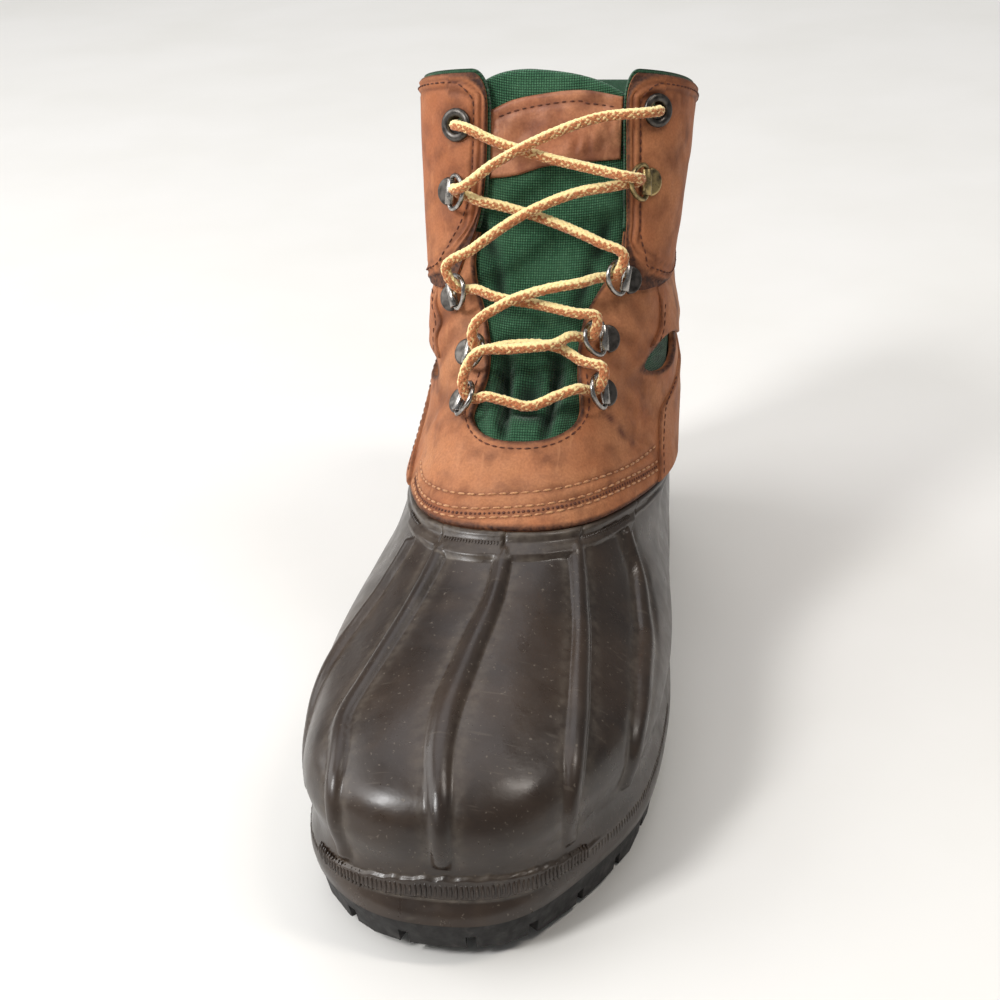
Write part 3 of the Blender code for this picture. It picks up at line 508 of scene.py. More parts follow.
def from_throat(last: Last, v: Array, g: Array) -> tuple[Array, Array, Array, Array]:
    """Measures places from the throat.

    Args:
        last: surface they lie on.
        v: their levels.
        g: their places round the foot.

    Returns:
        Their side (1 medial, -1 lateral), place on it from toe (0) to heel (1), distance in mm from the
        throat's edge, and a level's height in mm there.
    """
    place = np.mod(g, 2.0)
    side = np.where(place > 1.0, -1, 1)
    place = np.where(side > 0, place, 2.0 - place)
    edge = np.where(side > 0, throat_edge(v, 1), throat_edge(v, -1))
    tall, wide = (np.linalg.norm(unit, axis=-1) for unit in last.metric(v, g))
    return side, place, (place - edge) * wide, tall


def quads(rows: int, columns: int, closed: bool = False, looped: bool = False) -> Array:
    """Faces of a grid of points, facing outward where columns run by the medial side and rows run upward.

    Args:
        rows: number of rows.
        columns: number of columns.
        closed: whether each row runs back to its start.
        looped: whether the last row is joined to the first.

    Returns:
        Four point numbers for each face.
    """
    i, j = np.meshgrid(np.arange(rows - (not looped)), np.arange(columns - (not closed)), indexing="ij")
    k, n = (j + 1) % columns, (i + 1) % rows
    faces = [i * columns + j, i * columns + k, n * columns + k, n * columns + j]
    return np.stack(faces, axis=-1).reshape(-1, 4)


class Shell(NamedTuple):
    """Closed wall: its points in mm, its faces, and for each face 0 outside, 1 edge, 2 inside."""

    points: Array
    faces: list[tuple[int, ...]]
    kinds: list[int]


def shell(outer: Array, inner: Array, faces: Any = None) -> Shell:
    """Closes a wall between two sheets of points that share their faces.

    Args:
        outer: points of the outer sheet.
        inner: the same points moved to the inner sheet.
        faces: the outer sheet's faces; without them it is a whole grid.

    Returns:
        The wall.
    """
    if faces is None:
        faces = quads(*outer.shape[:2])
        outer, inner = outer.reshape(-1, 3), inner.reshape(-1, 3)
    count = len(outer)
    edges = np.stack([faces, np.roll(faces, -1, axis=1)], axis=-1).reshape(-1, 2)
    rim = edges[~np.isin(edges @ (count, 1), edges @ (1, count))]
    made = [tuple(face) for face in faces.tolist()]
    made += [(b, a, a + count, b + count) for a, b in rim.tolist()]
    made += [tuple(face[::-1]) for face in (faces + count).tolist()]
    kinds = [0] * len(faces) + [1] * len(rim) + [2] * len(faces)
    return Shell(np.concatenate([outer, inner]), made, kinds)


def weld(points: Array, faces: Array) -> tuple[Array, Array]:
    """Joins points of a sheet that lie in one place.

    Args:
        points: the sheet's points in mm.
        faces: its faces.

    Returns:
        The old number of each point kept, and the faces with new numbers.
    """
    _, first, new = np.unique(np.round(points, 4), axis=0, return_index=True, return_inverse=True)
    order = np.argsort(first)
    rank = np.empty(len(order), int)
    rank[order] = np.arange(len(order))
    return first[order], rank[new.reshape(-1)][faces]


def make_mesh(name: str, points: Array, faces: Sequence[Sequence[int]]) -> Mesh:
    """Mesh from points in mm.

    Args:
        name: its name.
        points: its vertices.
        faces: corners of each face.

    Returns:
        The mesh, in metres.
    """
    mesh = bpy.data.meshes.new(name)
    mesh.from_pydata((np.asarray(points, float) * MM).tolist(), [], [tuple(face) for face in faces])
    return mesh


def line_mesh(name: str, lines: Sequence[Array]) -> Mesh:
    """Mesh of bare lines, from points in metres.

    Args:
        name: its name.
        lines: each line's points.

    Returns:
        The mesh.
    """
    edges: list[tuple[int, int]] = []
    first = 0
    for line in lines:
        edges += [(first + k, first + k + 1) for k in range(len(line) - 1)]
        first += len(line)
    mesh = bpy.data.meshes.new(name)
    mesh.from_pydata(np.concatenate(lines).tolist(), edges, [])
    return mesh


def add_object(name: str, data: Any) -> Object:
    """Puts a mesh, lamp or camera in the scene.

    Args:
        name: its name.
        data: what it shows.

    Returns:
        The object.
    """
    made = bpy.data.objects.new(name, data)
    bpy.context.scene.collection.objects.link(made)
    return made


def finish_piece(
    name: str,
    mesh: Mesh,
    materials: Sequence[Material],
    stands_for: Sequence[str] = (),
    sharp: float = 50.0,
) -> Object:
    """Puts a finished mesh in the scene as a piece of the boot.

    Args:
        name: the piece's name.
        mesh: its mesh, in place, in metres.
        materials: its material slots in order, or none to keep its own.
        stands_for: CAD nodes it replaces.
        sharp: angle in degrees from which an edge is drawn sharp.

    Returns:
        The piece.
    """
    mesh.name = name
    if materials:
        mesh.materials.clear()
    for material in materials:
        mesh.materials.append(material)
    mesh.shade_smooth()
    mesh.set_sharp_from_angle(angle=math.radians(sharp))
    piece = add_object(name, mesh)
    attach(piece, BODY)
    if stands_for:
        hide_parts(*stands_for)
    LOG.info("%s: %d faces", name, len(mesh.polygons))
    return piece


def write_values(mesh: Mesh, name: str, values: Array) -> None:
    """Keeps one number per point of a mesh, for its material to read."""
    mesh.attributes.new(name, "FLOAT", "POINT").data.foreach_set("value", np.asarray(values, np.float32))


def tube(path: Array, radius: float, sides: int) -> Solid:
    """Round tube along a path that runs back to its start.

    Args:
        path: points in mm.
        radius: in mm.
        sides: corners of its section.

    Returns:
        Points in mm and faces.
    """
    tangent = np.roll(path, -1, axis=0) - np.roll(path, 1, axis=0)
    tangent /= np.linalg.norm(tangent, axis=1, keepdims=True)
    across = np.array([0.0, 0.0, 1.0])
    turn = np.arange(sides)[:, None] * 2.0 * math.pi / sides
    points = []
    for place, ahead in zip(path, tangent):
        across = across - ahead * (across @ ahead)
        across /= np.linalg.norm(across)
        points.append(place + radius * (np.cos(turn) * across + np.sin(turn) * np.cross(ahead, across)))
    return np.concatenate(points), quads(len(path), sides, closed=True, looped=True).tolist()


# ---- finishes


class Side(Enum):
    """Side of the boot, with its sign across the foot."""

    MEDIAL = 1
    LATERAL = -1


def linear(code: str) -> tuple[float, float, float, float]:
    """Turns an sRGB hex colour linear.

    Args:
        code: a # and six hex digits.

    Returns:
        Red, green, blue and alpha.
    """
    parts = [int(code[i : i + 2], 16) / 255.0 for i in (1, 3, 5)]
    turned = [c / 12.92 if c <= 0.04045 else ((c + 0.055) / 1.055) ** 2.4 for c in parts]
    return (*turned, 1.0)


def metres(size: float) -> float:
    """A size in mm as metres."""
    return size * MM


def per_metre(size: float) -> float:
    """How many repeats of a size in mm fit in a metre, which is a texture's scale."""
    return 1.0 / (size * MM)


class Kind(NamedTuple):
    """Node as used here: its type, settings, inputs in the order given, output, and inputs given in mm."""

    node: str
    settings: dict[str, Any] = {}
    inputs: tuple[int | str, ...] = ()
    output: int | str = 0
    in_mm: dict[str, Callable[[float], float]] = {}


MATH, VECTOR = "ShaderNodeMath", "ShaderNodeVectorMath"
SUMS = {
    "add": "ADD", "subtract": "SUBTRACT", "multiply": "MULTIPLY", "divide": "DIVIDE", "sine": "SINE",
    "cosine": "COSINE", "multiply add": "MULTIPLY_ADD", "least": "MINIMUM", "most": "MAXIMUM",
    "size": "ABSOLUTE",
}
KINDS = {
    **{name: Kind(MATH, {"operation": word}, (0, 1, 2)) for name, word in SUMS.items()},
    "cross": Kind(VECTOR, {"operation": "CROSS_PRODUCT"}, (0, 1)),
    "dot": Kind(VECTOR, {"operation": "DOT_PRODUCT"}, (0, 1), "Value"),
    "sum": Kind(VECTOR, {"operation": "ADD"}, (0, 1)),
    "scale": Kind(VECTOR, {"operation": "SCALE"}, (0, "Scale")),
    "range": Kind("ShaderNodeMapRange", {}, (0, 1, 2, 3, 4)),
    "stretch": Kind("ShaderNodeMapping", {}, (0, "Scale")),
    "noise": Kind("ShaderNodeTexNoise", {}, ("Vector", "Scale", "Detail"), 0, {"Scale": per_metre}),
    "cells": Kind("ShaderNodeTexVoronoi", {"feature": "F1"}, ("Vector", "Scale"), 0, {"Scale": per_metre}),
    "mix": Kind("ShaderNodeMix", {"data_type": "RGBA"}, (0, 6, 7), 2),
    "bump": Kind("ShaderNodeBump", {}, ("Height", "Distance", "Strength", "Normal"), 0, {"Distance": metres}),
    "value": Kind("ShaderNodeAttribute", {}, (), "Fac"),
    "place": Kind("ShaderNodeTexCoord", {}, (), "Object"),
    "uv": Kind("ShaderNodeUVMap", {"uv_map": "cloth"}),
    "parts": Kind("ShaderNodeSeparateXYZ", {}, (0,)),
    "shader": Kind("ShaderNodeBsdfPrincipled", {}, ("Base Color", "Roughness", "Normal")),
    "shown": Kind("ShaderNodeOutputMaterial", {}, (0,)),
    "curve": Kind("GeometryNodeMeshToCurve", {}, (0,)),
    "even": Kind("GeometryNodeResampleCurve", {"mode": "LENGTH"}, ("Curve", "Length")),
    "ball": Kind("GeometryNodeMeshUVSphere", {}, ("Segments", "Rings", "Radius")),
    "up": Kind("GeometryNodeInputNamedAttribute", {"data_type": "FLOAT_VECTOR"}, ("Name",)),
    "tangent": Kind("GeometryNodeInputTangent"),
    "normal": Kind("GeometryNodeInputNormal"),
    "along": Kind("GeometryNodeSplineParameter", {}, (), "Length"),
    "turned": Kind("FunctionNodeAxesToRotation", {"primary_axis": "Z", "secondary_axis": "X"}, (0, 1)),
    "chance": Kind("FunctionNodeRandomValue", {"data_type": "FLOAT"}, (2, 3, "Seed"), 1),
    "instances": Kind("GeometryNodeInstanceOnPoints", {}, ("Points", "Instance", "Rotation", "Scale")),
    "copies": Kind("GeometryNodeDuplicateElements", {"domain": "SPLINE"}, ("Geometry", "Amount")),
    "kept": Kind("GeometryNodeStoreNamedAttribute", {"data_type": "FLOAT"}, ("Geometry", "Name", "Value")),
    "moved": Kind("GeometryNodeSetPosition", {}, ("Geometry", "Offset")),
    "joined": Kind("GeometryNodeJoinGeometry", {}, (0, 0)),
    "circle": Kind("GeometryNodeCurvePrimitiveCircle", {}, ("Resolution", "Radius")),
    "tube": Kind("GeometryNodeCurveToMesh", {}, ("Curve", "Profile Curve", "Fill Caps")),
    "real": Kind("GeometryNodeRealizeInstances", {}, (0,)),
    "dressed": Kind("GeometryNodeSetMaterial", {}, ("Geometry", "Material")),
    "given": Kind("NodeGroupInput"),
    "result": Kind("NodeGroupOutput", {}, (0,)),
}


def add_node(tree: NodeTree, name: str, *given: Any, **settings: Any) -> Any:
    """Adds a node.

    Args:
        tree: where it goes.
        name: its row in KINDS.
        given: what goes into its inputs, in the row's order: a socket, a value or a hex colour.
        settings: properties set besides the row's.

    Returns:
        Its output socket, or the node itself if it has none.
    """
    kind = KINDS[name]
    node = tree.nodes.new(kind.node)
    for key, value in {**kind.settings, **settings}.items():
        setattr(node, key, value)
    for key, value in zip(kind.inputs, given):
        if isinstance(value, NodeSocket):
            tree.links.new(value, node.inputs[key])
            continue
        if key in kind.in_mm:
            value = kind.in_mm[key](value)
        node.inputs[key].default_value = linear(value) if str(value).startswith("#") else value
    return node.outputs[kind.output] if node.outputs else node


class Recipe:
    """Material tree being put together round one Principled shader."""

    def __init__(self, name: str) -> None:
        """Starts a material.

        Args:
            name: what the real surface is.
        """
        self.material = bpy.data.materials.new(name)
        self.material.use_nodes = True
        self.material.node_tree.nodes.clear()
        self.add = partial(add_node, self.material.node_tree)
        self.place = self.add("place")

    def done(self, colour: Any, roughness: Any, normal: Any, **others: float) -> Material:
        """Ends the material.

        Args:
            colour: the shader's base colour.
            roughness: a socket or a number.
            normal: the last bump.
            others: the shader's other sockets, by their names with _ for a space.

        Returns:
            The material.
        """
        shader = self.add("shader", colour, roughness, normal)
        for name, value in others.items():
            shader.node.inputs[name.replace("_", " ")].default_value = value
        self.add("shown", shader)
        return self.material


@dataclass(frozen=True)
class MouldedRubber:
    """Compression-moulded natural rubber: even brown with a waxy gloss, dust held in its hollows, and painted
    sheen drawn in the same pale colour over the rim band and blocks at the front.
    """

    name: str = "moulded brown rubber"
    base: str = "#34281f"
    dark: str = "#271e18"
    light: str = "#43362b"
    dust: str = "#857a6c"
    roughness: float = 0.30

    def build(self) -> Material:
        """Builds the material.

        Returns:
            The material.
        """
        recipe = Recipe(self.name)
        add, place = recipe.add, recipe.place
        broad = add("range", add("noise", place, 34.0, 3.0), 0.35, 0.65)
        colour = add("mix", broad, self.dark, self.base)
        bloom = add("range", add("noise", place, 11.0, 4.0), 0.5, 0.8, 0.0, 0.55)
        colour = add("mix", bloom, colour, self.light)
        specks = add("range", add("noise", place, 1.1, 1.0), 0.70, 0.76, 0.0, 0.6)
        drawn = add("noise", add("stretch", place, (1.0, 14.0, 5.0)), 26.0, 2.0)
        scratches = add("range", drawn, 0.67, 0.72, 0.0, 0.10)
        patchy = add("range", add("noise", place, 3.0, 5.0), 0.3, 0.75)
        # Paler where the attribute says: dust in hollows, and painted sheen on the front of the rim band and
        # blocks.
        dust_sheen_mask = add("multiply", add("value", attribute_name="dust"), patchy)
        pale = add("most", add("most", add("multiply", specks, 0.5), scratches), dust_sheen_mask)
        colour = add("mix", pale, colour, self.dust)
        least, most = self.roughness - 0.05, self.roughness + 0.10
        rough = add("range", add("noise", place, 7.0, 4.0), 0.3, 0.7, least, most)
        rough = add("add", rough, add("multiply", pale, 0.35))
        peel = add("bump", add("noise", place, 5.0, 3.0), 0.14, 0.55)
        peel = add("bump", add("noise", place, 1.2, 3.0), 0.05, 0.6, peel)
        wax = {"Specular_IOR_Level": 0.45, "Coat_Weight": 0.08, "Coat_Roughness": 0.15}
        return recipe.done(colour, rough, peel, **wax)


@dataclass(frozen=True)
class SoleRubber:
    """Carbon-black outsole compound: dull black, scuffed grey on its edges."""

    name: str = "black outsole rubber"
    base: str = "#1d1b1a"
    scuffed: str = "#4b4744"

    def build(self) -> Material:
        """Builds the material.

        Returns:
            The material.
        """
        recipe = Recipe(self.name)
        add, place = recipe.add, recipe.place
        worn = add("range", add("noise", place, 4.0, 5.0), 0.52, 0.75, 0.0, 0.55)
        colour = add("mix", worn, self.base, self.scuffed)
        rough = add("range", add("noise", place, 3.0, 3.0), 0.3, 0.7, 0.62, 0.85)
        normal = add("bump", add("noise", place, 1.2, 4.0), 0.12, 0.8)
        return recipe.done(colour, rough, normal)


@dataclass(frozen=True)
class Leather:
    """Full-grain cowhide buffed to a nap: dry, mottled orange brown, darker where it was cut, and darker in
    its creases as painted shade.
    """

    name: str = "oiled nubuck leather"
    deep: str = "#63361f"
    base: str = "#a3623c"
    light: str = "#bc8057"
    cut: str = "#371d13"
    stain: str = "#4f251a"
    roughness: float = 0.68
    # A hide's pores are about 0.2 mm: they're drawn coarser so that they show.
    grain: float = 0.75
    relief: float = 0.10

    def build(self) -> Material:
        """Builds the material.

        Returns:
            The material.
        """
        recipe = Recipe(self.name)
        add, place = recipe.add, recipe.place
        broad = add("range", add("noise", place, 26.0, 5.0), 0.32, 0.68)
        colour = add("mix", broad, self.base, self.light)
        blotch = add("range", add("noise", place, 9.0, 6.0), 0.48, 0.74, 0.0, 0.75)
        colour = add("mix", blotch, colour, self.deep)
        fine = add("range", add("noise", place, 0.8, 3.0), 0.35, 0.7, 0.0, 0.30)
        colour = add("mix", fine, colour, self.deep)
        drawn = add("noise", add("stretch", place, (9.0, 1.0, 2.0)), 16.0, 3.0)
        scratches = add("range", drawn, 0.63, 0.69, 0.0, 0.35)
        colour = add("mix", scratches, colour, self.light)
        # Painted shade: folds, creases and stitch grooves are drawn darker.
        patchy = add("range", add("noise", place, 4.0, 4.0), 0.2, 0.8, 0.55, 1.0)
        painted_crease_shade = add("multiply", add("value", attribute_name="crease"), patchy)
        colour = add("mix", painted_crease_shade, colour, self.deep)
        colour = add("mix", add("value", attribute_name="stain"), colour, self.stain)
        ragged = add("range", add("noise", place, 1.6, 4.0), 0.25, 0.75, 0.6, 1.15)
        cut_edge = add("multiply", add("value", attribute_name="cut"), ragged)
        cut_edge = add("least", cut_edge, 1.0)
        colour = add("mix", cut_edge, colour, self.cut)
        pores = add("cells", place, self.grain)
        normal = add("bump", pores, self.relief, 0.55)
        normal = add("bump", add("noise", place, 3.2, 5.0), 0.30, 0.45, normal)
        least, most = self.roughness - 0.08, self.roughness + 0.10
        rough = add("range", add("noise", place, 5.0, 4.0), 0.3, 0.7, least, most)
        return recipe.done(colour, rough, normal, Specular_IOR_Level=0.35)


@dataclass(frozen=True)
class Canvas:
    """Plain-woven nylon and cotton duck: threads crossing over and under, with painted highlight on their
    crowns and painted shade in their hollows and folds.
    """

    name: str = "green canvas"
    base: str = "#2f5c40"
    # crown is the painted highlight colour, also used for random paler patches; hollow is the painted shade
    # colour.
    crown: str = "#5d8c6a"
    hollow: str = "#122018"
    # Real threads are about 0.5 mm apart: they're drawn coarser so that the weave shows.
    thread: float = 0.85

    def build(self) -> Material:
        """Builds the material.

        Returns:
            The material.
        """
        recipe = Recipe(self.name)
        add, place = recipe.add, recipe.place
        wobble = add("multiply", add("subtract", add("noise", place, 5.0, 2.0), 0.5), 0.5)
        parts = add("parts", add("uv")).node
        turn = math.pi / (self.thread * MM)
        across = add("add", add("multiply", parts.outputs[0], turn), wobble)
        along = add("add", add("multiply", parts.outputs[1], turn), wobble)
        warp = add("sine", across)
        weft = add("sine", along)
        # Where warp and weft agree in sign the warp lies on top, elsewhere the weft.
        over = add("range", add("multiply", warp, weft), -0.05, 0.05)
        warp_high = add("multiply", add("size", warp), add("range", add("size", weft), 0.0, 1.0, 0.55, 1.0))
        weft_high = add("multiply", add("size", weft), add("range", add("size", warp), 0.0, 1.0, 0.55, 1.0))
        first = add("multiply", warp_high, over)
        second = add("multiply", weft_high, add("subtract", 1.0, over))
        height = add("add", first, second)
        # Painted shade in the hollows between the threads.
        colour = add("mix", add("range", height, 0.15, 0.62), self.hollow, self.base)
        # Painted highlight on the threads' crowns.
        slub = add("range", add("noise", place, 1.4, 3.0), 0.35, 0.75)
        crown_highlight = add("multiply", add("range", height, 0.55, 1.0), slub)
        colour = add("mix", crown_highlight, colour, self.crown)
        dusty = add("range", add("noise", place, 15.0, 4.0), 0.45, 0.8, 0.0, 0.30)
        colour = add("mix", dusty, colour, self.crown)
        # Painted shade in folds and on faces kept out of the light.
        shaded = add("multiply", add("value", attribute_name="crease"), 0.92)
        colour = add("mix", shaded, colour, self.hollow)
        fuzz = add("add", height, add("multiply", add("noise", place, 0.5, 2.0), 0.5))
        normal = add("bump", fuzz, 0.30, 0.8)
        nap = {"Sheen_Weight": 0.25, "Sheen_Roughness": 0.4, "Specular_IOR_Level": 0.2}
        return recipe.done(colour, 0.92, normal, **nap)


@dataclass(frozen=True)
class Metal:
    """Steel with a black-nickel plate: a dark mirror in random tarnished patches, or brassy where the lace
    rubs.
    """

    name: str = "black nickel"
    base: str = "#a9a5a0"
    tarnish: str = "#7a7672"
    roughness: float = 0.20

    def build(self) -> Material:
        """Builds the material.

        Returns:
            The material.
        """
        recipe = Recipe(self.name)
        add, place = recipe.add, recipe.place
        patches = add("range", add("noise", place, 2.6, 4.0), 0.42, 0.66)
        colour = add("mix", patches, self.base, self.tarnish)
        least, most = self.roughness - 0.06, self.roughness + 0.16
        rough = add("range", add("noise", place, 1.5, 4.0), 0.3, 0.7, least, most)
        normal = add("bump", add("noise", place, 0.9, 3.0), 0.03, 0.5)
        return recipe.done(colour, rough, normal, Metallic=1.0)


@dataclass(frozen=True)
class Cord:
    """Braided polyester boot lace: fuzzy yarn, yellow on the strands' sides facing up and back, rust-flecked
    on the sides facing down and toward the toe, which is partly its own flecks and partly painted shade.
    """

    name: str = "braided lace yarn"
    pale: str = "#fbe6a8"
    rust: str = "#b8734b"
    shade: str = "#b58a55"

    def build(self) -> Material:
        """Builds the material.

        Returns:
            The material.
        """
        recipe = Recipe(self.name)
        add, place = recipe.add, recipe.place
        specks = add("range", add("noise", place, 1.8, 2.0), 0.44, 0.52, 0.35, 1.0)
        flecked = add("mix", add("most", add("value", attribute_name="fleck"), specks), self.pale, self.rust)
        wander = add("range", add("noise", place, 24.0, 1.0), 0.3, 0.7, -0.22, 0.22)
        # tone: rust-flecked on each strand's side that faces down and toward the toe, partly painted shade.
        turn = add("add", add("value", attribute_name="turn"), wander)
        tone = add("range", turn, 0.47, 0.55)
        colour = add("mix", tone, self.pale, flecked)
        dirt = add("range", add("noise", place, 0.7, 3.0), 0.45, 0.75, 0.0, 0.22)
        colour = add("mix", dirt, colour, self.shade)
        normal = add("bump", add("noise", place, 0.28, 3.0), 0.15, 0.7)
        nap = {"Sheen_Weight": 0.35, "Sheen_Roughness": 0.4, "Specular_IOR_Level": 0.2}
        return recipe.done(colour, 0.9, normal, **nap)


@dataclass(frozen=True)
class Plain:
    """Simple matte stuff such as thread, felt or floor paint: one colour, mottled, with a fine nap."""

    name: str
    base: str
    mottle: str
    size: float = 2.0
    roughness: float = 0.85
    relief: float = 0.05
    sheen: float = 0.0

    def build(self) -> Material:
        """Builds the material.

        Returns:
            The material.
        """
        recipe = Recipe(self.name)
        add, place = recipe.add, recipe.place
        patches = add("range", add("noise", place, self.size, 4.0), 0.35, 0.7)
        colour = add("mix", patches, self.base, self.mottle)
        normal = add("bump", add("noise", place, self.size / 3.0, 3.0), self.relief, 0.6)
        return recipe.done(colour, self.roughness, normal, Sheen_Weight=self.sheen)


class Finishes:
    """Every material of the boot, built once."""

    def __init__(self) -> None:
        """Builds the materials."""
        self.rubber = MouldedRubber().build()
        self.sole = SoleRubber().build()
        self.leather = Leather().build()
        self.cuff = Leather("smooth oiled leather", "#673820", "#a2603b", "#b6764d").build()
        pull_up = Leather("pull-up leather", "#663220", "#a86647", "#c28863", roughness=0.46, relief=0.06)
        self.patch = pull_up.build()
        self.raw_edge = Plain("raw leather edge", "#55301d", "#331c12", 1.2, 0.95, 0.3).build()
        self.raw_light = Plain("pale cut edge", "#a8714c", "#7d4d30", 1.2, 0.95, 0.3).build()
        self.suede = Plain("suede flesh side", "#7a5236", "#5c3b26", 3.0, 0.95, 0.2, 0.2).build()
        self.canvas = Canvas().build()
        self.light_thread = Plain("light tan thread", "#c58f60", "#9a5f38", 1.0, 0.6, sheen=0.2).build()
        self.dark_thread = Plain("dark brown thread", "#633421", "#43241a", 1.0, 0.8).build()
        self.metal = Metal().build()
        # Darker copy of the nickel: the eyelets' own darker plating, and painted shade on the clips' plates.
        self.dark_and_shaded_metal = Metal("blackened steel and painted plate shade", "#5f5b57", "#3a3734", 0.34).build()
        self.aged_metal = Metal("worn brass under nickel", "#b29c6c", "#5e5644", 0.3).build()
        self.cord = Cord().build()
        self.felt = Plain("grey felt footbed", "#4c4a45", "#35332f", 2.0, 0.98, 0.3, 0.3).build()
        self.floor = Plain("matte white floor", "#e4e2de", "#e0ded9", 120.0, 0.9, 0.0).build()


# ---- rows of small repeats


SEEDS = 97  # each row of beads takes one of these, by how many points its lines have


@dataclass(frozen=True)
class Bead:
    """Small rounded element repeated along a line: its pitch, and its size along, across and above."""

    pitch: float
    along: float
    across: float
    above: float
    jitter: float = 0.1
    segments: int = 6
    rings: int = 5


class LineTree:
    """Geometry Nodes tree that turns lines into a solid, and its named inputs."""

    def __init__(self, name: str, inputs: dict[str, str]) -> None:
        """Starts the tree.

        Args:
            name: its name.
            inputs: what kind of socket each named input is; Line and Finish come besides them.
        """
        self.tree = bpy.data.node_groups.new(name, "GeometryNodeTree")
        face = self.tree.interface
        face.new_socket("Line", in_out="INPUT", socket_type="NodeSocketGeometry")
        face.new_socket("Solid", in_out="OUTPUT", socket_type="NodeSocketGeometry")
        self.identifiers = {
            key: face.new_socket(key, in_out="INPUT", socket_type="NodeSocket" + kind).identifier
            for key, kind in {**inputs, "Finish": "Material"}.items()
        }
        self.add = partial(add_node, self.tree)
        self.given = self.add("given").node.outputs

    def close(self, solid: Any) -> None:
        """Ends the tree with real geometry in its finish."""
        self.add("result", self.add("dressed", self.add("real", solid), self.given["Finish"]))

    def run(self, mesh: Mesh, values: dict[str, Any]) -> Mesh:
        """Runs the tree.

        Args:
            mesh: the lines; it is used up.
            values: what each named input is set to.

        Returns:
            The plain mesh that it makes.
        """
        helper = add_object(mesh.name, mesh)
        modifier = helper.modifiers.new("build", "NODES")
        modifier.node_group = self.tree
        for name, value in values.items():
            modifier[self.identifiers[name]] = value
        bpy.context.view_layer.update()
        graph = bpy.context.evaluated_depsgraph_get()
        made = bpy.data.meshes.new_from_object(helper.evaluated_get(graph), depsgraph=graph)
        bpy.data.objects.remove(helper)
        if "up" in made.attributes:
            made.attributes.remove(made.attributes["up"])
        return made


class BeadRow:
    """Sets a rounded element at an even pitch along lines, turned to the surface."""

    inputs = {
        "Pitch": "Float", "Size": "Vector", "Jitter": "Float",
        "Segments": "Int", "Rings": "Int", "Seed": "Int",
    }

    def __init__(self) -> None:
        """Builds the tree once for every row."""
        self.tree = LineTree("bead row", self.inputs)
        add, given = self.tree.add, self.tree.given
        even = add("even", add("curve", given["Line"]), given["Pitch"])
        ball = add("ball", given["Segments"], given["Rings"], 0.5)
        turn = add("turned", add("up", "up"), add("tangent"))
        low = add("subtract", 1.0, given["Jitter"])
        high = add("add", 1.0, given["Jitter"])
        size = add("scale", given["Size"], add("chance", low, high, given["Seed"]))
        self.tree.close(add("instances", even, ball, turn, size))

    def lay(
        self, name: str, lines: Sequence[tuple[Array, Array]], bead: Bead, finish: Material, slot: str
    ) -> Object:
        """Lays beads along lines.

        Args:
            name: name of the finished piece.
            lines: for each line its points in mm and the surface's normals there.
            bead: the element.
            finish: its material.
            slot: not used.

        Returns:
            The finished piece.
        """
        mesh = line_mesh(name, [line * MM for line, _ in lines])
        ups = np.concatenate([up for _, up in lines]).astype(np.float32)
        mesh.attributes.new("up", "FLOAT_VECTOR", "POINT").data.foreach_set("vector", ups.ravel())
        values = {
            "Pitch": bead.pitch * MM,
            "Size": (bead.along * MM, bead.across * MM, bead.above * MM),
            "Jitter": bead.jitter,
            "Segments": bead.segments,
            "Rings": bead.rings,
            "Seed": len(ups) % SEEDS,
            "Finish": finish,
        }
        return finish_piece(name, self.tree.run(mesh, values), (), sharp=80.0)


# ---- sheets laid on the last


class Opening(NamedTuple):
    """Hole through a sheet: its centre, half sizes up and round the last, and how pointed its toe end is."""

    v: float
    g: float
    half_v: float
    half_g: float
    point: float = 0.0

    def reach(self, v: Array, g: Array) -> Array:
        """How far out places lie, with the hole's edge at 1.

        Args:
            v: levels of the places.
            g: their places round the foot.

        Returns:
            One number for each place.
        """
        side = -1.0 if self.g <= 1.0 else 1.0
        across = side * (np.mod(g, 2.0) - self.g) / self.half_g
        up = (v - self.v) / self.half_v
        stretch = np.ones_like(up)
        for _ in range(4):
            turn = np.arctan2(up, across / stretch)
            stretch = 1.0 + self.point * np.maximum(np.cos(turn), 0.0) ** 4
        return np.hypot(across / stretch, up)


WINDOWS = (Opening(8.88, 0.375, 0.26, 0.085, 0.25), Opening(8.75, 1.655, 0.26, 0.085, 0.25))
EYELETS = ((Side.MEDIAL, 11.66), (Side.LATERAL, 11.54))
EYELET_FROM_EDGE = 10.5
EYELET_HOLE, EYELET_BARREL, EYELET_BORE, EYELET_RIM = 3.85, 3.45, 2.7, 5.5


def eyelet_holes(last: Last) -> list[Opening]:
    """Round holes through a sheet for the eyelets' barrels.

    Args:
        last: surface it lies on.

    Returns:
        The medial and the lateral hole.
    """
    holes = []
    for side, v in EYELETS:
        away = throat_edge(v, side.value) + EYELET_FROM_EDGE / last.half_length(v, side.value)
        g = side.value * float(away) % 2.0
        tall, wide = (EYELET_HOLE / float(np.linalg.norm(unit)) for unit in last.metric(v, g))
        holes.append(Opening(v, g, tall, wide))
    return holes


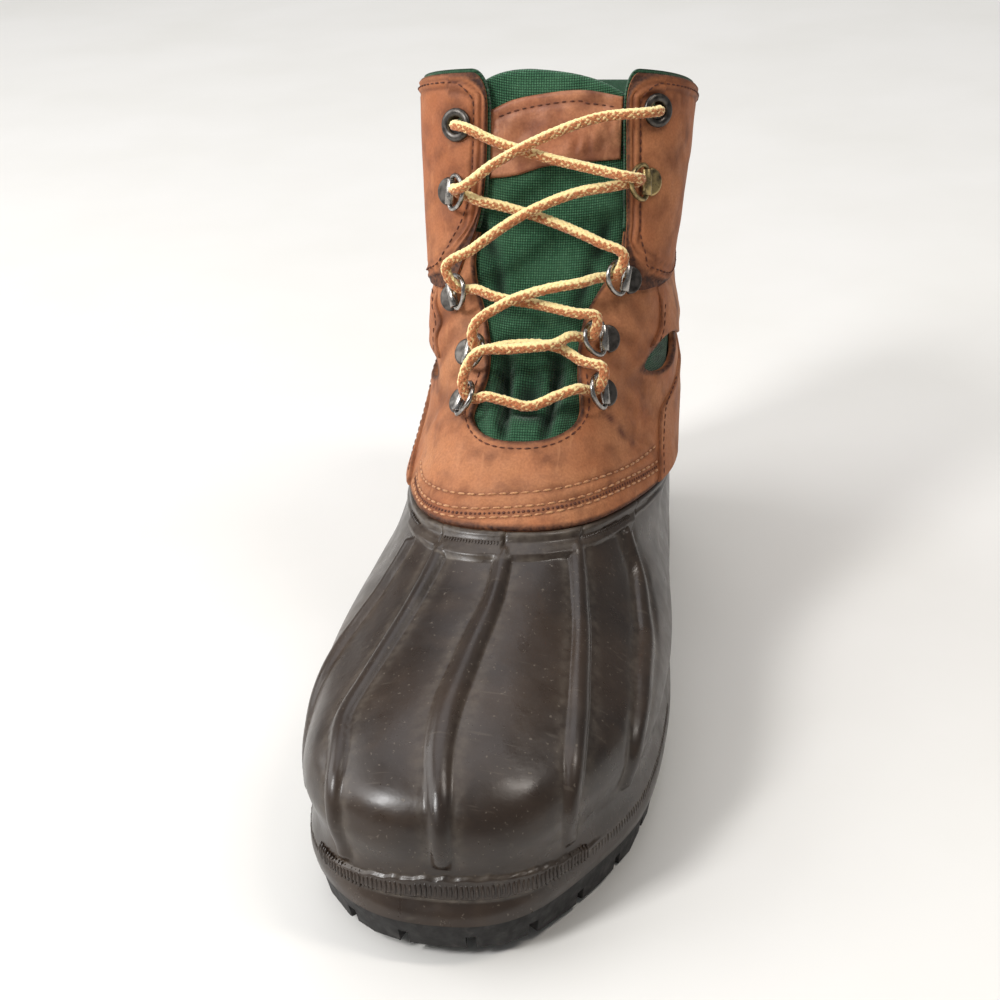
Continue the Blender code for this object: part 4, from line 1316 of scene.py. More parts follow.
def lay(
    last: Last, v: Array, g: Array, outer: Field, inner: Field, openings: Sequence[Opening] = ()
) -> tuple[Shell, Array, Array]:
    """Lays a grid of places on the last and gives it a wall.

    Args:
        last: surface it lies on.
        v: level of each place, row by row.
        g: place round the foot of each.
        outer: lift of the outer face at places.
        inner: lift of the inner face at places.
        openings: holes cut through it, whose edges are drawn smooth.

    Returns:
        The wall, and the level and place round the foot of each point of its outer face.
    """
    faces = quads(*v.shape)
    v, g = v.ravel().copy(), g.ravel().copy()
    for hole in openings:
        out = hole.reach(v, g)
        gone = out[faces].mean(axis=1) < 1.0
        edge = np.intersect1d(faces[gone], faces[~gone])
        v[edge] = hole.v + (v[edge] - hole.v) / out[edge]
        g[edge] = hole.g + (g[edge] - hole.g) / out[edge]
        faces = faces[~gone]
    first, faces = weld(last.at(v, g), faces)
    used = np.unique(faces)
    number = np.full(len(first), -1)
    number[used] = np.arange(len(used))
    v, g = v[first[used]], g[first[used]]
    return shell(last.at(v, g, outer(v, g)), last.at(v, g, inner(v, g)), number[faces]), v, g


def spread_columns(fine: float, fine_to: float, coarse: float, reach: float, length: float) -> Array:
    """Distances of a side's columns from the throat's edge, as shares of its length.

    Args:
        fine: step in mm beside the edge.
        fine_to: distance in mm to which the step stays fine.
        coarse: step in mm from reach onward.
        reach: distance in mm at which the step has become coarse.
        length: length of the side in mm.

    Returns:
        Rising shares from 0 to 1.
    """
    places = [0.0]
    while places[-1] < length:
        share = held((places[-1] - fine_to) / (reach - fine_to))
        places.append(places[-1] + fine + (coarse - fine) * share)
    return np.array(places) / places[-1]


def joined(sides: Sequence[tuple[Array, ...]]) -> tuple[Array, ...]:
    """Joins grids of the medial and the lateral side at the heel, row by row."""
    return tuple(np.concatenate([a, b[:, ::-1][:, 1:]], axis=1) for a, b in zip(*sides))


def shaft_places(shares: Array, levels: Callable[[int, Array], Array]) -> tuple[Array, ...]:
    """Grid of places from the medial edge of the throat round the heel to the lateral edge.

    Args:
        shares: each side's columns, from the throat's edge to the heel.
        levels: gives a column of levels, from the bottom to the top row, for each side's distances in mm.

    Returns:
        Levels and places round the foot, row by row, and the distance in mm of each from the throat's edge.
    """
    sides = []
    for side in (1, -1):
        v = levels(side, shares * (1.0 - THROAT_SHARE / EVEN_FROM) * LOW_LENGTH)
        edge = throat_edge(v, side)
        g = shares + edge * held(1.0 - shares / EVEN_FROM)
        length = LOW_LENGTH - LOST_LENGTH * held((v - 5.0) / 7.0) ** 0.8
        sides.append((v, g if side > 0 else 2.0 - g, (g - edge) * length))
    return joined(sides)


def leather_piece(
    name: str,
    wall: Shell,
    dressing: dict[str, Array],
    materials: Sequence[Material],
    stands_for: Sequence[str] = (),
) -> None:
    """Makes a leather piece.

    Args:
        name: the piece's name.
        wall: its wall.
        dressing: what its material reads on the outer face: painted shade in creases, cut and stain.
        materials: finishes of its outer face, its cut edge and its flesh side.
        stands_for: CAD nodes it replaces.
    """
    mesh = make_mesh(name, wall.points, wall.faces)
    for key, values in dressing.items():
        write_values(mesh, key, np.concatenate([values, np.zeros(len(values))]))
    mesh.polygons.foreach_set("material_index", np.asarray(wall.kinds, np.int32))
    finish_piece(name, mesh, materials, stands_for, sharp=65.0)


def cloth_piece(
    name: str, wall: Shell, uv: Array, shade: Array, finishes: Finishes, stands_for: Sequence[str] = ()
) -> Object:
    """Makes a piece of green cloth.

    Args:
        name: the piece's name.
        wall: its wall.
        uv: place in metres of cloth of each point of its outer face.
        shade: how shaded each point of both its faces is.
        finishes: the boot's materials.
        stands_for: CAD nodes it replaces.

    Returns:
        The piece.
    """
    mesh = make_mesh(name, wall.points, wall.faces)
    corners = np.empty(len(mesh.loops), np.int64)
    mesh.loops.foreach_get("vertex_index", corners)
    layer = mesh.uv_layers.new(name="cloth")
    layer.data.foreach_set("uv", np.concatenate([uv, uv]).astype(np.float32)[corners].ravel())
    write_values(mesh, "crease", shade)
    return finish_piece(name, mesh, (finishes.canvas,), stands_for, sharp=80.0)


# ---- sole and rubber bottom


@dataclass
class Outsole:
    """Lugged outsole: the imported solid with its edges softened."""

    bevel: float = 0.45

    def build(self, finishes: Finishes) -> None:
        """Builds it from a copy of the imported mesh.

        Args:
            finishes: the boot's materials.
        """
        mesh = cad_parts["outsole"].data.copy()
        built = bmesh.new()
        built.from_mesh(mesh)
        bmesh.ops.remove_doubles(built, verts=built.verts, dist=1e-5)
        bmesh.ops.dissolve_limit(built, angle_limit=math.radians(3.0), verts=built.verts, edges=built.edges)
        sharp = [e for e in built.edges if e.is_manifold and e.calc_face_angle(0.0) > math.radians(35)]
        size = {"offset": self.bevel * MM, "segments": 2, "profile": 0.6}
        bmesh.ops.bevel(built, geom=sharp, affect="EDGES", clamp_overlap=True, **size)
        bmesh.ops.triangulate(built, faces=built.faces)
        built.to_mesh(mesh)
        built.free()
        finish_piece("outsole_rubber", mesh, (finishes.sole,), ("outsole",), sharp=60.0)


class Block(NamedTuple):
    """Stretch of the strip under the rim: its ends, its height in mm down the boot, how proud it is."""

    start: float
    end: float
    tall: float
    proud: float


# Levels of the toe strip's foot and of the flange's ticks, and where flutes and ticks end round the foot.
STRIP_LOW, FLANGE_LEVEL = 1.05, 0.86
TOE_FLUTES = (-0.125, 0.150)
FLANGE_TICKS = ((-0.42, -0.13), (0.16, 0.40))
RIM_TICKS = ((-0.078, 0.0), (0.125, 0.235), (-0.20, -0.15))


@dataclass
class RubberBottom:
    """Moulded tub: flange, toe strip with flutes, ribs over the vamp, rim bands, floor and hollow inside."""

    last: Last
    wall: float = RUBBER_WALL
    rib_width: float = 2.1
    rib_height: float = 1.9
    band_tall: float = 3.8
    band_proud: float = 1.1
    ribs: tuple[Places, ...] = (
        ((6.80, -0.165), (5.75, -0.220), (4.55, -0.265), (3.5, -0.255), (2.2, -0.165)),
        ((6.98, -0.080), (6.20, -0.095), (5.45, -0.115), (4.65, -0.120), (4.10, -0.095), (3.25, -0.090),
         (1.55, -0.082)),
        ((7.02, 0.010), (6.35, 0.010), (5.75, 0.0), (5.35, 0.0), (4.80, 0.005), (3.75, 0.010), (2.05, 0.010)),
        ((7.02, 0.110), (6.20, 0.135), (5.60, 0.150), (4.85, 0.155), (3.90, 0.140), (2.95, 0.130),
         (1.70, 0.132)),
        ((6.90, 0.225), (5.60, 0.315), (4.70, 0.330), (3.95, 0.275), (3.05, 0.230), (1.95, 0.215)),
    )
    blocks: tuple[Block, ...] = (
        Block(-0.40, -0.205, 6.5, 0.55), Block(-0.205, -0.085, 9.5, 0.85), Block(-0.085, 0.0075, 10.5, 1.55),
        Block(0.0075, 0.118, 10.0, 1.25), Block(0.118, 0.255, 8.5, 0.8), Block(0.255, 1.60, 6.5, 0.55),
    )
    ridge: Places = (
        (-0.140, 1.18), (-0.100, 1.40), (-0.080, 1.47), (-0.050, 1.65), (0.0, 1.83), (0.055, 1.88),
        (0.095, 1.65), (0.125, 1.52), (0.150, 1.30), (0.175, 1.18),
    )

    def columns(self) -> Array:
        """Places round the foot, closest over the toe.

        Returns:
            Places from 0 to 2.
        """
        places = [0.0]
        while places[-1] < 1.0:
            places.append(places[-1] + 0.0020 + 0.0050 * float(step(0.28, 0.5, places[-1])))
        side = np.array(places) / places[-1]
        return np.concatenate([side, 2.0 - side[::-1][1:-1]])

    def relief(self, v: Array, g: Array, points: Array) -> tuple[Array, Array]:
        """Lift of the outer face beyond the plain last, and where it is drawn paler: dust in its hollows, and
        painted sheen over the rim band and blocks at the front.

        Args:
            v: level of each row.
            g: place round the foot of each column.
            points: the plain face's points in mm, row by row.

        Returns:
            Two grids, one number per point.
        """
        side = np.where(g > 1.0, g - 2.0, g)
        up = run(points)
        below = np.array([np.interp(LEATHER_EDGE, v, column) for column in up.T])[None, :] - up
        vv = np.broadcast_to(v[:, None], up.shape)
        # Flange: a rounded lip between two fine creases.
        lift = 0.45 * bump(vv - 0.48, 0.5) - 0.55 * bell(vv - 1.0, 0.06)
        dust = [0.55 * bell(vv - 1.02, 0.07)]
        # Toe strip, glued over the wall: its top edge is ragged.
        levels = np.interp(side, *zip(*self.ridge))
        ragged = 0.06 * noise(points, 3.0, 5) + 0.03 * noise(points, 1.2, 6)
        near = band(-0.15, -0.085, 0.125, 0.19, side)
        proud = 1.0 - step(levels - 0.06, levels + 0.03, vv + ragged)
        lift += near * 0.95 * proud * step(1.0, 1.12, vv)
        lift += near * 0.28 * bell(vv + ragged - levels + 0.09, 0.06)
        dust.append(near * 0.35 * bell(vv + ragged - levels, 0.05))
        # Ribs, each a soft ridge with a shallow valley on both sides; the middle one is the widest.
        for number, places in enumerate(self.ribs):
            distance, share = Path(self.last, places, 200).nearest(points)
            width = self.rib_width * (1.0 + (0.45 if number == 2 else 0.15) * bump(share - 0.55, 0.45))
            fade = band(0.0, 0.02, 0.97, 1.0, share)
            crown = held(1.0 - (distance / (1.45 * width)) ** 2) ** 0.8
            valley = bell(distance - 2.1 * width, 0.8 * width)
            lift = np.maximum(lift, fade * self.rib_height * crown) - 0.30 * fade * valley
            dust.append(0.22 * fade * valley)
        # Rim: a smooth band under the leather, and the strip's blocks below it.
        edge_noise = 0.35 * noise(points, 5.0, 9)
        for block in self.blocks:
            soft = 0.002
            inside = band(block.start - soft, block.start + soft, block.end - soft, block.end + soft, side)
            if block.end > 1.0:
                inside = ((side > block.start) | (side < -0.40)).astype(float)
            edge = block.tall + edge_noise
            tall = (1.0 - step(edge - 0.35, edge + 0.25, below)) * step(-0.6, 0.2, below)
            lift = np.where(inside * tall > 0.01, np.maximum(lift, block.proud * inside * tall), lift)
            lift += 0.2 * inside * bell(below - edge + 0.9, 0.6) * step(0.0, 1.0, below)
            dust.append(inside * (0.8 if block.proud > 1.5 else 0.3) * bell(below - edge - 0.35, 0.5))
            lift -= 0.3 * bell(side - block.start, 0.0022) * (below > 0) * (below < block.tall)
        smooth = bump(below - self.band_tall * 0.5 + 0.3, self.band_tall * 0.62)
        lift += self.band_proud * smooth * step(-0.3, 0.5, below)
        lift -= 0.35 * bell(below - self.band_tall - 0.4, 0.45)
        dust.append(0.25 * bell(below - self.band_tall - 0.4, 0.5))
        # Painted sheen: the rim band and its blocks at the front are drawn paler, as the highlight they
        # catch.
        front = band(-0.30, -0.15, 0.10, 0.22, side)
        dust.append(front * band(0.0, 0.5, 9.0, 10.5, below) * (0.16 + 0.25 * smooth))
        # The rubber is not quite even, and nothing stands out under the leather.
        lift += 0.10 * noise(points, 24.0, 3) + 0.05 * noise(points, 8.0, 4)
        lift *= 1.0 - step(LEATHER_EDGE - 0.02, LEATHER_EDGE + 0.02, vv) * step(0.0, 0.5, -below + 0.5)
        return lift, np.maximum.reduce([np.broadcast_to(layer, lift.shape) for layer in dust])

    def base_lift(self, v: Array) -> Array:
        """Lift of the plain face: on the last up to the rim's step, then tucked under the leather."""
        tucked = leather_lift(np.maximum(v, LEATHER_EDGE)) - LEATHER_WALL - GAP
        return tucked * step(RUBBER_STEP, LEATHER_EDGE, v)

    def build(self, finishes: Finishes) -> None:
        """Builds the tub as one closed grid, up the outside, over the rim and down the inside.

        Args:
            finishes: the boot's materials.
        """
        strip, vamp, rim = (0.85, 2.05, 26), (2.05, 6.35, 54), (6.35, 7.16, 30)
        v, g = stretches((0.0, 0.85, 9), strip, vamp, rim, (7.16, RUBBER_TOP, 4)), self.columns()
        lift, dust = self.relief(v, g, self.last.at(v[:, None], g[None, :]))
        self.lift_table = (v, g, lift)
        outer = self.last.at(v[:, None], g[None, :], lift + self.base_lift(v)[:, None])
        inner_v = np.concatenate([np.linspace(RUBBER_TOP, 6.5, 6), np.linspace(6.2, 0.5, 14)])
        inner = self.last.at(inner_v[:, None], g[None, :], self.base_lift(inner_v)[:, None] - self.wall)
        inner[-1, :, 2] = self.last.at(0.5, g)[:, 2]
        grid = np.concatenate([outer, inner])
        rows, columns = grid.shape[:2]
        faces = quads(rows, columns, closed=True).tolist()
        # Both ends are closed by strips across, from one side to the other.
        last_row = (rows - 1) * columns
        for j in range(columns // 2):
            strip = (j, j + 1, columns - j - 1, (columns - j) % columns)
            faces.append(tuple(dict.fromkeys(strip))[::-1])
            faces.append(tuple(dict.fromkeys(last_row + corner for corner in strip)))
        mesh = make_mesh("rubber", grid.reshape(-1, 3), faces)
        write_values(mesh, "dust", np.concatenate([dust.ravel(), np.zeros(inner.shape[0] * columns)]))
        finish_piece("rubber_tub", mesh, (finishes.rubber,), ("rubber_bottom",), sharp=70.0)

    def surface(self, v: Array, g: Array, proud: float = 0.0) -> tuple[Array, Array]:
        """Points in mm and normals of places on the finished outer face, raised by proud mm.

        Args:
            v: levels of the places.
            g: their places round the foot.
            proud: extra lift in mm.

        Returns:
            Points in mm and unit normals.
        """
        rows, columns, table = self.lift_table
        order = np.argsort(columns)
        i = np.clip(np.searchsorted(rows, v) - 1, 0, len(rows) - 2)
        j = np.clip(np.searchsorted(columns[order], np.mod(g, 2.0)) - 1, 0, len(columns) - 1)
        return self.last.at(v, g, table[i, order[j]] + self.base_lift(v) + proud), self.last.normal(v, g)

    def flutes(self, beads: BeadRow, finishes: Finishes) -> None:
        """Presses upright flutes along the toe strip and the flange, and fine ticks on the rim's blocks.

        Args:
            beads: lays the rows of small parts.
            finishes: the boot's materials.
        """
        side = np.linspace(*TOE_FLUTES, 120)
        middle = STRIP_LOW + 0.42 * (np.interp(side, *zip(*self.ridge)) - STRIP_LOW)
        toe = self.surface(middle, side, -0.45)
        flange = [self.surface(np.full(80, FLANGE_LEVEL), np.linspace(*e, 80), -0.30) for e in FLANGE_TICKS]
        rim = []
        for ends in RIM_TICKS:
            places = np.linspace(*ends, 60)
            up, _ = self.last.metric(np.full(60, RUBBER_STEP + 0.05), places)
            level = LEATHER_EDGE - (self.band_tall + 1.0) / np.linalg.norm(up, axis=1)
            rim.append(self.surface(level, places, -0.15))
        for name, lines, bead in (
            ("toe_flutes", [toe], Bead(1.45, 1.15, 5.2, 1.9, 0.12, segments=8, rings=6)),
            ("flange_ticks", flange, Bead(1.5, 0.9, 4.2, 1.0)),
            ("rim_ticks", rim, Bead(1.0, 0.62, 1.9, 0.9, 0.15)),
        ):
            beads.lay(name, lines, bead, finishes.rubber, "bottom_rubber")


@dataclass
class Footbed:
    """Loose felt footbed on the tub's floor."""

    def build(self, finishes: Finishes) -> None:
        """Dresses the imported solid.

        Args:
            finishes: the boot's materials.
        """
        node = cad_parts["insole"]
        node.data.materials.clear()
        node.data.materials.append(finishes.felt)


# ---- upper


@dataclass
class LeatherShape:
    """Shape that every leather layer follows: folds worn into it and the grooves that its stitching pulls."""

    last: Last
    folds: tuple[Fold, ...] = (
        Fold(9.85, -0.150, 9.35, -0.250, 3.2, 1.0),
        Fold(9.55, -0.130, 9.10, -0.200, 2.6, 0.7),
        Fold(9.05, -0.110, 8.75, -0.170, 2.8, 0.8),
        Fold(8.55, -0.120, 8.30, -0.230, 4.0, 0.9),
        Fold(8.20, -0.200, 7.85, -0.300, 3.5, 0.6),
        Fold(9.90, 0.190, 9.45, 0.260, 3.0, 0.9),
        Fold(9.55, 0.160, 9.15, 0.235, 2.6, 0.8),
        Fold(9.15, 0.150, 8.85, 0.230, 2.4, 0.7),
        Fold(8.85, 0.190, 8.45, 0.290, 3.6, 1.0),
        Fold(8.60, 0.180, 8.10, 0.255, 2.8, 0.6),
        Fold(8.00, 0.205, 7.62, 0.300, 1.4, 0.6),
        Fold(8.95, 0.50, 8.55, 0.62, 4.0, 0.8),
        Fold(9.4, 0.55, 9.2, 0.75, 4.5, 0.9),
        Fold(9.0, 0.70, 8.9, 0.90, 4.5, 0.8),
        Fold(8.95, -0.50, 8.55, -0.62, 4.0, 0.8),
        Fold(9.4, -0.50, 9.2, -0.70, 4.5, 0.9),
        Fold(9.0, -0.68, 8.9, -0.90, 4.5, 0.8),
        Fold(9.55, 0.92, 9.5, 1.08, 4.0, 0.7),
    )
    vamp_rows: tuple[Places, ...] = (
        ((7.47, -0.240), (7.41, -0.190), (7.42, -0.145), (7.45, -0.060), (7.50, 0.030), (7.55, 0.125),
         (7.56, 0.245), (7.60, 0.315)),
        ((7.34, -0.240), (7.30, -0.180), (7.30, -0.105), (7.35, -0.010), (7.40, 0.075), (7.44, 0.195),
         (7.42, 0.320)),
    )
    needle_row: float = 1.9
    low_row: float = 3.4

    def below(self, distance: float) -> Path:
        """Row of stitches at a distance in mm under the second vamp row."""
        return Path(self.last, self.vamp_rows[1], 300).offset(distance)

    @cached_property
    def grooves(self) -> list[tuple[Path, float, float]]:
        """Line, half width and depth of each groove."""
        rows = [(Path(self.last, places, 300), 0.85, 0.38) for places in self.vamp_rows]
        return rows + [(self.below(distance), 0.8, 0.30) for distance in (self.needle_row, self.low_row)]

    def relief(self, v: Array, g: Array) -> tuple[Array, Array]:
        """Added lift at places, and how much painted shade the leather's folds and stitch grooves get there.

        Args:
            v: levels of the places.
            g: their places round the foot.

        Returns:
            Two numbers for each place.
        """
        points = self.last.at(v, g)
        lift, deep = folded(self.last, points, self.folds)
        for path, width, depth in self.grooves:
            distance, _ = path.nearest(points)
            lift += depth * (0.35 * bell(distance - 2.1 * width, width) - bell(distance, width))
            # Painted shade along each stitch groove.
            deep = np.maximum(deep, 0.85 * bell(distance, 0.75 * width))
        lift += 0.32 * noise(points, 17.0, 21) + 0.14 * noise(points, 6.5, 22) + 0.04 * noise(points, 2.2, 23)
        return lift * (0.35 + 0.65 * step(LEATHER_EDGE, LEATHER_EDGE + 0.12, v)), deep

    def outer(self, v: Array, g: Array) -> Array:
        """Lift of the upper's outer face."""
        return leather_lift(v) + self.relief(v, g)[0]

    def line(self, path: Path, proud: float) -> tuple[Array, Array]:
        """Points and normals of a line some mm above the leather."""
        lift = self.outer(path.v, path.g) + proud
        return self.last.at(path.v, path.g, lift), self.last.normal(path.v, path.g)


@dataclass
class Upper:
    """Vamp and quarters: a wall of leather lapped over the rubber, open at the throat and windows."""

    last: Last
    shape: LeatherShape
    top: float = 10.6

    def build(self, finishes: Finishes) -> None:
        """Builds the wall.

        Args:
            finishes: the boot's materials.
        """
        shares = spread_columns(0.75, 14.0, 2.6, 110.0, 264.0)
        column = [
            LEATHER_EDGE + (THROAT_BOTTOM - LEATHER_EDGE) * np.linspace(0.0, 1.0, 34)[:-1] ** 1.1,
            THROAT_BOTTOM + THROAT_ROUND * np.linspace(0.0, 1.0, 17)[:-1] ** 2.2,
            np.linspace(THROAT_BOTTOM + THROAT_ROUND, self.top, 58),
        ]
        rows = np.concatenate(column)[:, None]
        v, g, _ = shaft_places(shares, lambda side, distance: np.tile(rows, (1, len(distance))))
        wall, v, g = lay(self.last, v, g, self.outer, self.inner, WINDOWS)
        foot = 1.0 - step(LEATHER_EDGE + 0.02, LEATHER_EDGE + 0.2, v)
        cut = 0.95 * (1.0 - step(0.5 + 0.3 * foot, 1.7 + 0.5 * foot, self.edge_distance(v, g)))
        points = self.last.at(v, g)
        scuff, _ = Path(self.last, ((8.26, 0.163), (8.06, 0.190), (7.80, 0.236)), 60).nearest(points)
        stain = bell(scuff, 1.9) * held(0.75 + noise(points, 3.0, 31))
        stain = np.maximum(stain, 0.35 * held(noise(points, 9.0, 32) - 0.35))
        # The first value is painted shade in the folds and stitch grooves.
        dressing = {"crease": self.shape.relief(v, g)[1], "cut": cut, "stain": stain}
        materials = (finishes.leather, finishes.raw_edge, finishes.suede)
        leather_piece("leather_vamp_and_quarters", wall, dressing, materials, ("leather_upper",))

    def edge_distance(self, v: Array, g: Array) -> Array:
        """Distance in mm from places to the nearest cut edge.

        Args:
            v: levels of the places.
            g: their places round the foot.

        Returns:
            One number for each place.
        """
        _, place, throat, tall = from_throat(self.last, v, g)
        throat = np.where(v > THROAT_BOTTOM, throat, np.inf)
        low = (v < THROAT_BOTTOM + 2 * THROAT_ROUND) & (place < 0.3)
        rounding, _ = self.throat_outline.nearest(self.last.at(v[low], g[low]))
        throat[low] = np.minimum(throat[low], rounding)
        near = np.minimum(throat, (v - LEATHER_EDGE) * tall)
        for hole in WINDOWS:
            near = np.minimum(near, np.abs(hole.reach(v, g) - 1.0) * hole.half_v * tall)
        return near

    def outer(self, v: Array, g: Array) -> Array:
        """Lift of the outer face, rounded over at its cut edges."""
        return self.shape.outer(v, g) - rounded(self.edge_distance(v, g), 0.7)

    def inner(self, v: Array, g: Array) -> Array:
        """Lift of the flesh side."""
        return leather_lift(v) - LEATHER_WALL + 0.25 * self.shape.relief(v, g)[0] - 0.15

    @cached_property
    def throat_outline(self) -> Path:
        """Cut edge round the throat's rounded bottom.

        Returns:
            The line, from the lateral side to the medial.
        """
        rows = THROAT_BOTTOM + THROAT_ROUND * np.linspace(1.0, 0.0, 50) ** 2.2
        rows = np.concatenate([np.linspace(8.95, rows[0], 30)[:-1], rows])
        medial, lateral = (np.column_stack([rows, side * throat_edge(rows, side)]) for side in (1, -1))
        return Path(self.last, np.concatenate([lateral, medial[::-1][1:]]), 400)

    def stitches(self, beads: BeadRow, finishes: Finishes) -> None:
        """Sews the rows over the vamp and round the throat.

        Args:
            beads: lays the rows of small parts.
            finishes: the boot's materials.
        """
        shape = self.shape
        vamp = [shape.line(Path(self.last, places, 300), 0.12) for places in shape.vamp_rows]
        needle = shape.line(shape.below(shape.needle_row), 0.05)
        low = shape.line(shape.below(shape.low_row), 0.10)
        throat = shape.line(self.throat_outline.offset(THROAT_SEAM), 0.1)
        long_stitch = Bead(3.5, 3.05, 0.85, 0.75, 0.12)
        for name, lines, bead, thread in (
            ("vamp_stitches", vamp, long_stitch, finishes.light_thread),
            ("vamp_needle_row", [needle], Bead(1.55, 1.0, 1.0, 0.45, 0.2), finishes.dark_thread),
            ("vamp_low_stitches", [low], long_stitch, finishes.light_thread),
            ("throat_stitches", [throat], Bead(2.7, 2.15, 0.62, 0.5, 0.12), finishes.dark_thread),
        ):
            beads.lay(name, lines, bead, thread, "leather")


class Overlay(NamedTuple):
    """Extra layer of leather from one side round the heel to the other: its outline on each side."""

    name: str
    medial_front: Places
    lateral_front: Places
    low: Places
    high: Places
    thick: float


@dataclass
class Panels:
    """Ankle panel and heel counter sewn over the quarters, with their pale cut edges."""

    last: Last
    shape: LeatherShape
    overlays: tuple[Overlay, ...] = (
        Overlay(
            "ankle_panel",
            ((9.10, 0.272), (9.30, 0.305), (9.65, 0.315), (10.05, 0.280), (10.3, 0.270)),
            ((9.02, 0.215), (9.25, 0.228), (9.50, 0.215), (9.90, 0.240), (10.3, 0.250)),
            ((-1.0, 8.75), (-0.62, 8.72), (-0.44, 8.80), (-0.34, 9.02), (-0.20, 9.00), (0.27, 9.13),
             (0.375, 9.18), (0.47, 8.95), (0.62, 8.72), (1.0, 8.75)),
            ((-1.0, 9.92), (1.0, 9.92)),
            1.15,
        ),
        Overlay(
            "heel_counter",
            ((7.17, 0.325), (7.6, 0.332), (8.1, 0.36), (8.4, 0.42)),
            ((7.17, 0.255), (7.3, 0.285), (7.45, 0.315), (7.9, 0.36), (8.4, 0.42)),
            ((-1.0, 7.17), (1.0, 7.17)),
            ((-1.0, 8.45), (-0.6, 8.25), (-0.40, 8.12), (-0.30, 7.95), (0.32, 7.95), (0.40, 8.12),
             (0.6, 8.25), (1.0, 8.45)),
            1.2,
        ),
    )

    def places(self, overlay: Overlay) -> tuple[Array, ...]:
        """Grid of places of an overlay and their distance in mm from its outline.

        Args:
            overlay: the layer.

        Returns:
            Levels, places round the foot and distances, row by row.
        """
        share = spread_columns(0.7, 5.0, 3.0, 60.0, 210.0)
        rows = stretches((0, 0.08, 5), (0.08, 0.92, 26), (0.92, 1, 5))[:, None]
        grids = []
        for side, front in ((1, overlay.medial_front), (-1, overlay.lateral_front)):
            g = np.tile(front[0][1] + (1.0 - front[0][1]) * share, (len(rows), 1))
            for _ in range(4):
                bottom = smooth_through(*zip(*overlay.low), side * g)
                top = smooth_through(*zip(*overlay.high), side * g)
                v = bottom + (top - bottom) * rows
                edge = smooth_through(*zip(*front), v)
                g = edge + (1.0 - edge) * share[None, :]
            tall, wide = (np.linalg.norm(unit, axis=-1) for unit in self.last.metric(v, side * g))
            upright = np.minimum(v - bottom, np.where(top > 9.5, 9.0, top - v)) * tall
            grids.append((v, g if side > 0 else 2.0 - g, np.minimum((g - edge) * wide, upright)))
        return joined(grids)

    def build(self, beads: BeadRow, finishes: Finishes) -> None:
        """Builds the layers and their stitches.

        Args:
            beads: lays the rows of small parts.
            finishes: the boot's materials.
        """
        lines = []
        for overlay in self.overlays:
            v, g, away = self.places(overlay)
            base = self.shape.outer(v, g)
            # The layer thins out where it runs under the cuff.
            thick = overlay.thick * (1.0 - 0.8 * step(9.72, 9.9, v)) + 0.06
            face = self.last.at(v, g, base + thick - rounded(away, 0.55)).reshape(-1, 3)
            first, faces = weld(face, quads(*v.shape))
            v, g, away, base = (grid.ravel()[first] for grid in (v, g, away, base))
            wall = shell(face[first], self.last.at(v, g, base + 0.06), faces)
            cut = 0.5 * (1.0 - step(0.1, 0.7, away))
            # The first value is painted shade in the folds and stitch grooves.
            dressing = {"crease": self.shape.relief(v, g)[1], "cut": cut, "stain": 0 * cut}
            materials = (finishes.leather, finishes.raw_light, finishes.suede)
            leather_piece(overlay.name, wall, dressing, materials)
            for side, front in ((1, overlay.medial_front), (-1, overlay.lateral_front)):
                places = [(level, side * place) for level, place in front if level < 9.95]
                path = Path(self.last, places, 140).offset(2.6 * side)
                points, normals = self.shape.line(path, overlay.thick + 0.1)
                keep = path.v > places[0][0] + 0.1
                lines.append((points[keep], normals[keep]))
        beads.lay("panel_stitches", lines, Bead(2.7, 2.2, 0.62, 0.5, 0.12), finishes.dark_thread, "leather")


# ---- cuff, lining, tongue, gussets


class Corner(NamedTuple):
    """Rounded lower corner of a flap: how wide it is in mm and how many levels tall."""

    wide: float
    tall: float


